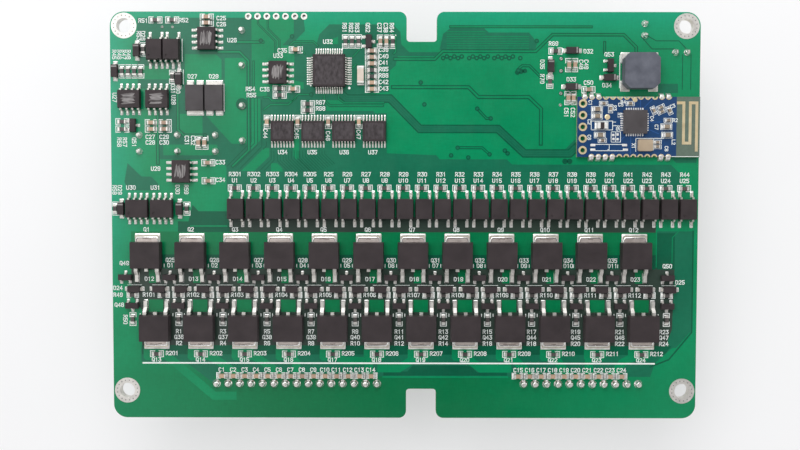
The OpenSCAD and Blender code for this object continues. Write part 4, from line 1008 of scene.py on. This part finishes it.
def coords(tree, scale=(1, 1, 1)):
    """Object coordinates, which are the same on every piece of the board, stretched by scale."""
    source = new_node(tree, "TexCoord", {})
    return new_node(tree, "Mapping", {"Vector": source.outputs["Object"], "Scale": scale}).outputs["Vector"]


def parts_of(tree, vector):
    """The X, Y and Z of a vector, by name."""
    return new_node(tree, "SeparateXYZ", {"Vector": vector}).outputs


def noise(tree, vector, scale, detail):
    """Cloudy values; scale is the number of clouds in a metre."""
    inputs = {"Vector": vector, "Scale": scale, "Detail": detail, "Roughness": 0.55}
    return new_node(tree, "TexNoise", inputs).outputs["Fac"]


def ramp(tree, factor, *stops):
    """Colour or grey ramp; stops are (place, colour)."""
    node = new_node(tree, "ValToRGB", {"Fac": factor})
    while len(node.color_ramp.elements) < len(stops):
        node.color_ramp.elements.new(0.5)
    for element, (place, colour) in zip(node.color_ramp.elements, stops):
        element.position = place
        element.color = (*colour, 1) if isinstance(colour, tuple) else (colour, colour, colour, 1)
    return node.outputs["Color"]


def spread(tree, factor, low, high):
    """Ramp from low to high over the middle of a noise."""
    return ramp(tree, factor, (0.3, low), (0.7, high))


def mix(tree, kind, a, b, share=1.0):
    """Two colours, each a socket or a tuple, blended by a share."""
    a, b = ((*colour, 1) if isinstance(colour, tuple) else colour for colour in (a, b))
    return new_node(tree, "Mix", {0: share, 6: a, 7: b}, data_type="RGBA", blend_type=kind).outputs[2]


def bump(tree, shader, height, strength, distance):
    """Let the surface of a shader rise and fall with a height."""
    node = new_node(tree, "Bump", {"Height": height, "Strength": strength, "Distance": distance})
    feed(tree, shader, {"Normal": node.outputs["Normal"]})


def maths(tree, kind, a, b=0.0):
    """Result of a Math node for two values, each a socket or a number."""
    return new_node(tree, "Math", {0: a, 1: b}, operation=kind).outputs[0]


def linear(colour):
    """A colour as the eye names it, from 0 to 255, as the linear value that a shader takes."""
    return tuple(((v / 255 + 0.055) / 1.055) ** 2.4 if v > 10 else v / 255 / 12.92 for v in colour)


def painted_light_and_shade(tree, at, colour, rim, painted_shade):
    """Painted light and shade: lighter at the top edge and the upper left edge, deeper low in the middle."""
    x, y, _ = parts_of(tree, at)
    # Painted shade: darker low in the middle of the board
    low = ramp(tree, maths(tree, "ADD", y, 0.06), (0.025, 1.0), (0.029, 0.0))
    aside = maths(tree, "ABSOLUTE", maths(tree, "ADD", x, 0.008))
    middle = ramp(tree, aside, (0.02, 1.0), (0.05, 0.42), (0.065, 0.1))
    colour = mix(tree, "MIX", colour, painted_shade, mix(tree, "MULTIPLY", low, middle))
    # Painted light: lighter along the top edge and the upper left edge
    below = maths(tree, "MINIMUM", maths(tree, "MULTIPLY", y, 0.3), 0.0)
    from_left = maths(tree, "SUBTRACT", maths(tree, "ADD", x, 0.0635), below)
    inside = maths(tree, "MINIMUM", from_left, maths(tree, "SUBTRACT", 0.0428, y))
    return mix(tree, "MIX", colour, rim, ramp(tree, inside, (0.0, 0.9), (0.003, 0.5), (0.008, 0.0)))


def mask_material(name, dark, light, edge=None, bare=None, painted_tones=None):
    """Solder mask: cloudy colour over a faint glass weave.

    edge is the colour of the cut edges, bare is (x, colour) of an end without mask, and the last argument
    holds the colour of the painted light at the edges and that of the painted shade low in the middle.
    """
    material, tree, shader = new_material(name)
    at = coords(tree)
    colour = spread(tree, noise(tree, at, 60, 4), linear(dark), linear(light))
    if painted_tones:
        colour = painted_light_and_shade(tree, at, colour, *(linear(shade) for shade in painted_tones))
    weave, weft = (ramp(tree, noise(tree, coords(tree, stretch), 2600, 1), (0.25, 0.9), (0.75, 1.0))
                   for stretch in ((1, 0.25, 1), (0.25, 1, 1)))
    cloth = mix(tree, "MULTIPLY", weave, weft)
    colour = mix(tree, "MULTIPLY", colour, cloth, 0.8)
    if bare:
        start, glass = bare[0], linear(bare[1])
        beyond = maths(tree, "GREATER_THAN", parts_of(tree, at)["X"], start)
        fibres = spread(tree, noise(tree, at, 1500, 2), tuple(c * 0.85 for c in glass), glass)
        colour = mix(tree, "MIX", colour, fibres, beyond)
    if edge:
        cut = linear(edge)
        normal = new_node(tree, "NewGeometry", {}).outputs["True Normal"]
        upright = maths(tree, "ABSOLUTE", parts_of(tree, normal)["Z"])
        grain = noise(tree, coords(tree, (1, 1, 12)), 900, 2)
        layers = ramp(tree, grain, (0.35, cut), (0.65, tuple(c * 1.5 for c in cut)))
        colour = mix(tree, "MIX", layers, colour, ramp(tree, upright, (0.4, 0.0), (0.6, 1.0)))
    rough = spread(tree, noise(tree, at, 300, 3), 0.17, 0.25)
    feed(tree, shader, {"Base Color": colour, "Roughness": rough})
    bump(tree, shader, cloth, 0.12, 0.00002)
    return material


def metal_material(name, dark, light, rough, scale, strength=0.2):
    """Tin, solder or gold: patchy brightness and a slightly wavy skin."""
    material, tree, shader = new_material(name)
    at = coords(tree)
    feed(tree, shader, {
        "Base Color": spread(tree, noise(tree, at, scale, 3), linear(dark), linear(light)),
        "Roughness": spread(tree, noise(tree, at, scale * 1.7, 3), *rough),
        "Metallic": 1.0,
    })
    bump(tree, shader, noise(tree, at, scale * 2.3, 2), strength, 0.00004)
    return material


def plain_material(name, dark, light, rough, scale, grain, strength, specular=0.5, stretch=(1, 1, 1)):
    """Moulded or fired material: cloudy colour, fine grain."""
    material, tree, shader = new_material(name)
    at = coords(tree, stretch)
    feed(tree, shader, {
        "Base Color": spread(tree, noise(tree, at, scale, 4), linear(dark), linear(light)),
        "Roughness": spread(tree, noise(tree, at, scale * 3, 2), *rough),
        "Specular IOR Level": specular,
    })
    bump(tree, shader, noise(tree, coords(tree), grain, 2), strength, 0.00002)
    return material


def wiped_material(name, dark, light, stretch):
    """Moulded top that was rubbed: pale streaks in one direction."""
    material, tree, shader = new_material(name)
    streaks = noise(tree, coords(tree, stretch), 2600, 2)
    feed(tree, shader, {
        "Base Color": ramp(tree, streaks, (0.36, linear(dark)), (0.56, linear(light)), (0.72, linear(dark))),
        "Roughness": ramp(tree, streaks, (0.4, 0.45), (0.6, 0.65)),
        "Specular IOR Level": 0.3,
    })
    bump(tree, shader, streaks, 0.2, 0.00002)
    return material


# The board's mask carries painted light along its top and left edges and painted shade low in the middle
PAINTED_LIGHT_MASK = mask_material("green_mask", (2, 132, 85), (6, 145, 95), edge=(118, 122, 74),
                     painted_tones=((13, 159, 121), (4, 113, 68)))
BARE_MASK = mask_material("green_mask_bare", (14, 105, 77), (26, 116, 86))
# Painted shadow between the transistor rows and under the optocouplers
SHADOW_MASK = mask_material("green_mask_painted_shadow", (48, 63, 56), (58, 75, 66))
# Painted shade between the upper transistors, and the patches under their leads
SHADE_AND_PATCH_MASK = mask_material("green_mask_shade_and_patches", (0, 115, 69), (4, 127, 78))
# Gaps between tracks, and the painted shade of the shaded ground
GAP_AND_SHADE_MASK = mask_material("green_mask_gap_and_shade", (3, 85, 60), (8, 98, 70))
TRACK_MASK = mask_material("green_mask_track", (2, 129, 83), (6, 143, 93))
TIN = metal_material("tin_plate", (214, 211, 206), (240, 237, 232), (0.42, 0.58), 900, 0.15)
TAB = metal_material("tab_plate", (206, 194, 188), (232, 222, 216), (0.4, 0.55), 700, 0.15)
RIM = metal_material("tab_rim", (206, 198, 182), (228, 221, 208), (0.45, 0.6), 900, 0.15)
SCRATCH = plain_material("tab_scratch", (92, 70, 60), (122, 100, 88), (0.5, 0.65), 1500, 6000, 0.2)
SHINY = metal_material("bright_solder", (218, 217, 215), (250, 249, 247), (0.16, 0.3), 900, 0.4)
PADS = metal_material("pad_solder", (238, 237, 234), (252, 251, 249), (0.5, 0.66), 1100, 0.2)
SOLDER = metal_material("solder", (214, 213, 211), (248, 247, 244), (0.3, 0.5), 1100, 0.3)
DULL = metal_material("dull_solder", (132, 138, 132), (188, 190, 185), (0.4, 0.55), 1400, 0.2)
GOLD = metal_material("gold_plate", (240, 217, 172), (250, 234, 198), (0.4, 0.52), 400, 0.06)
LID = metal_material("crystal_lid", (210, 188, 160), (226, 206, 180), (0.4, 0.5), 300, 0.05)
ALUMINIUM = metal_material("can_aluminium", (200, 200, 203), (226, 226, 228), (0.25, 0.4), 300)
EPOXY = plain_material("black_epoxy", (47, 40, 42), (59, 51, 53), (0.45, 0.6), 260, 9000, 0.35, 0.3)
CHIP_EPOXY = plain_material("radio_epoxy", (66, 62, 64), (80, 76, 78), (0.4, 0.55), 300, 9000, 0.3, 0.3)
WIPED_Y = wiped_material("wiped_epoxy_y", (56, 50, 51), (146, 142, 142), (0.7, 0.09, 1))
WIPED_X = wiped_material("wiped_epoxy_x", (56, 50, 51), (146, 142, 142), (0.09, 0.7, 1))
SANDED = plain_material("sanded_epoxy", (45, 39, 41), (79, 73, 76),
                        (0.45, 0.6), 1700, 9000, 0.3, 0.3, (1, 0.5, 1))
FILM = plain_material("resistor_film", (65, 61, 61), (92, 88, 86), (0.25, 0.4), 900, 5000, 0.15)
CERAMIC = plain_material("capacitor_ceramic", (154, 130, 115), (198, 167, 138),
                         (0.4, 0.6), 130, 6000, 0.2)
GREY_CERAMIC = plain_material("radio_part_ceramic", (118, 106, 93), (158, 144, 125),
                              (0.4, 0.6), 500, 6000, 0.2)
CREAM = plain_material("resonator_ceramic", (198, 185, 170), (213, 201, 188), (0.4, 0.6), 500, 6000, 0.2)
BUZZER = plain_material("buzzer_plastic", (76, 79, 90), (100, 103, 114), (0.45, 0.6), 420, 7000, 0.4)
NYLON = plain_material("header_nylon", (226, 222, 206), (238, 234, 220), (0.35, 0.5), 150, 4000, 0.15)
SLEEVE = plain_material("sleeve_film", (24, 27, 40), (34, 38, 54), (0.22, 0.34), 120, 2500, 0.1)
RUBBER = plain_material("seal_rubber", (30, 30, 30), (42, 42, 42), (0.6, 0.8), 400, 6000, 0.3)
RADIO_MASK = mask_material("blue_mask", (25, 60, 104), (34, 72, 119), edge=(150, 146, 120),
                           bare=(0.0583, (100, 116, 104)))
RADIO_TRACK = mask_material("blue_mask_track", (38, 82, 143), (46, 92, 155))
SILK = plain_material("white_print", (226, 234, 230), (244, 248, 246), (0.5, 0.7), 1500, 8000, 0.2)
BAND = plain_material("cathode_band", (120, 117, 116), (150, 147, 146), (0.5, 0.65), 900, 8000, 0.2)
STRIPE = plain_material("polarity_stripe", (172, 177, 186), (196, 200, 207), (0.25, 0.4), 200, 2500, 0.1)
STAIN = plain_material("flux_stain", (112, 88, 74), (168, 146, 130), (0.3, 0.5), 1600, 5000, 0.2)

SLOT_FINISH = {
    "board_mask": PAINTED_LIGHT_MASK, "tin": TIN, "solder": SOLDER, "gold": GOLD, "black_epoxy": EPOXY,
    "resistor_film": FILM, "capacitor_ceramic": CERAMIC, "resonator_ceramic": CREAM,
    "buzzer_plastic": BUZZER, "radio_mask": RADIO_MASK, "radio_part_ceramic": GREY_CERAMIC,
    "crystal_metal": LID, "header_nylon": NYLON, "can_aluminium": ALUMINIUM,
    "sleeve_film": SLEEVE, "seal_rubber": RUBBER,
}
NODE_FINISH = {
    "upper_mosfet_tabs": TAB, "lower_mosfet_tabs": TAB,
    "radio_chip": CHIP_EPOXY, "rectifier_bodies": CHIP_EPOXY,
}
for subpart in frame["record"]["subparts"]:
    finish = NODE_FINISH.get(subpart["node"], SLOT_FINISH[subpart["material_slot"]])
    materials = frame["nodes"][subpart["node"]].data.materials
    materials.clear()
    materials.append(finish)

# Pieces

bare, dark, shade_and_patches, gaps, bright = copper()
bare.piece("bare_ground", BARE_MASK, "board_mask")
dark.piece("painted_shadow_ground", SHADOW_MASK, "board_mask")
shade_and_patches.piece("shade_and_patches", SHADE_AND_PATCH_MASK, "board_mask")
gaps.piece("track_gaps_and_shade", GAP_AND_SHADE_MASK, "board_mask")
bright.piece("pours_and_tracks", TRACK_MASK, "board_mask")
vias().piece("vias", DULL, "solder", smooth=True)
rims, beads, marks = tab_tops()
rims.piece("tab_rims", RIM, "tin")
beads.piece("tab_beads", SHINY, "solder", smooth=True)
marks.piece("tab_marks", SCRATCH)
solder_leads().piece("lead_solder", SOLDER, "solder", smooth=True)
solder_chips().piece("chip_solder", SOLDER, "solder", smooth=True)
print_labels().piece("print_labels", SILK)
print_lines().piece("print_lines", SILK)
silk, pads, tracks, coil, blobs = radio_details()
silk.piece("radio_print", SILK)
pads.piece("radio_pads", PADS, "solder")
coil.piece("radio_coil", EPOXY, "radio_part_ceramic")
radio_joints = blobs.piece("radio_joints", SOLDER, "solder", smooth=True)
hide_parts("radio_solder")
header_joints = round_joints("header_solder").piece("header_joints", SHINY, "solder", smooth=True)
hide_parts("header_solder")
capacitor_joints = round_joints("capacitor_solder").piece("capacitor_joints", SOLDER, "solder", smooth=True)
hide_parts("capacitor_solder")
tracks.piece("radio_tracks", RADIO_TRACK, "radio_mask")
radio_dots().piece("radio_dots", GOLD, "gold", smooth=True)
gaps, bright, silk = (turned(sheet) for sheet in underside())
gaps.piece("under_gaps", GAP_AND_SHADE_MASK, "board_mask")
bright.piece("under_tracks", TRACK_MASK, "board_mask")
silk.piece("under_print", SILK)
pale, dashes, scores = cap_marks()
pale.piece("polarity_stripes", STRIPE)
dashes.piece("polarity_dashes", SLEEVE, "sleeve_film")
scores.piece("vent_scores", DULL, "can_aluminium")
wiped_tops(True).piece("wiped_tops_a", WIPED_Y, "black_epoxy")
wiped_tops(False).piece("wiped_tops_b", WIPED_X, "black_epoxy")
sanded_tops().piece("sanded_tops", SANDED, "black_epoxy")
flux_stain().piece("flux_stain", STAIN)
cathode_bands().piece("cathode_bands", BAND)
ring_dots().piece("ring_dots", BAND)

# Floor, light and camera

FLOOR_HALF = 3.0
FLOOR_DROP = 0.0001
# Share of plain white that the floor shows to the camera and in reflections
FLOOR_WHITE = 0.38
# The dome dims straight above the board, and a soft box stands above its left far corner
ABOVE = (0.12, -0.08, 0.9895)
SOFT_BOX = (-0.52, 0.3, 0.8)
SOFT_BOX_LEVEL = 1.5

floor_mesh = bpy.data.meshes.new("floor")
low = cad_box[0].z - FLOOR_DROP
corners = [(x * FLOOR_HALF, y * FLOOR_HALF, low) for x, y in ((-1, -1), (1, -1), (1, 1), (-1, 1))]
floor_mesh.from_pydata(corners, [], [(0, 1, 2, 3)])
floor = add_object("floor", floor_mesh)
table = plain_material("white_table", (238, 238, 240), (244, 244, 246), (0.6, 0.8), 6, 400, 0.05, 0.2)
tree = table.node_tree
ray = new_node(tree, "LightPath", {}).outputs
direct = maths(tree, "MAXIMUM", ray["Is Camera Ray"], ray["Is Glossy Ray"])
blend = new_node(tree, "MixShader", {
    "Fac": maths(tree, "MULTIPLY", direct, FLOOR_WHITE),
    1: tree.nodes["Principled BSDF"].outputs["BSDF"],
    2: new_node(tree, "Emission", {}).outputs["Emission"],
})
feed(tree, tree.nodes["Material Output"], {"Surface": blend.outputs["Shader"]})
floor_mesh.materials.append(table)

world = bpy.data.worlds.new("studio")
bpy.context.scene.world = world
world.use_nodes = True
sky = world.node_tree


def nearness(direction):
    """How close a direction of the sky lies to the given one."""
    here = new_node(sky, "TexCoord", {}).outputs["Generated"]
    return new_node(sky, "VectorMath", {0: here, 1: direction}, operation="DOT_PRODUCT").outputs["Value"]


dome = ramp(sky, nearness(ABOVE), (0.0, 0.86), (0.7, 0.76), (0.9, 0.62), (0.95, 0.45), (0.975, 0.06),
            (0.99, 0.02))
soft_box = ramp(sky, nearness(SOFT_BOX), (0.89, 0.0), (0.92, 0.18), (0.945, 0.45), (0.972, 1.0))
level = maths(sky, "ADD", dome, maths(sky, "MULTIPLY", soft_box, SOFT_BOX_LEVEL))
feed(sky, sky.nodes["Background"], {"Color": level})

lamp_data = bpy.data.lights.new("window", "AREA")
lamp_data.shape = "RECTANGLE"
lamp_data.size, lamp_data.size_y = 0.3, 0.2
lamp_data.energy = 0.62
lamp = add_object("window", lamp_data)
lamp.location = (-0.04, 0.26, 0.22)
lamp.rotation_euler = (-lamp.location).to_track_quat("-Z", "Y").to_euler()

camera_data = bpy.data.cameras.new("camera")
camera_data.lens = 34.2
camera_data.sensor_width = 36
camera_data.clip_start = 0.005
camera = add_object("camera", camera_data)
camera.location = (-0.00070, 0.00233, 0.16627)
camera.rotation_euler = (-0.0343, 0.0020, 0.0015)
bpy.context.scene.camera = camera
bpy.context.scene.view_settings.view_transform = "Standard"
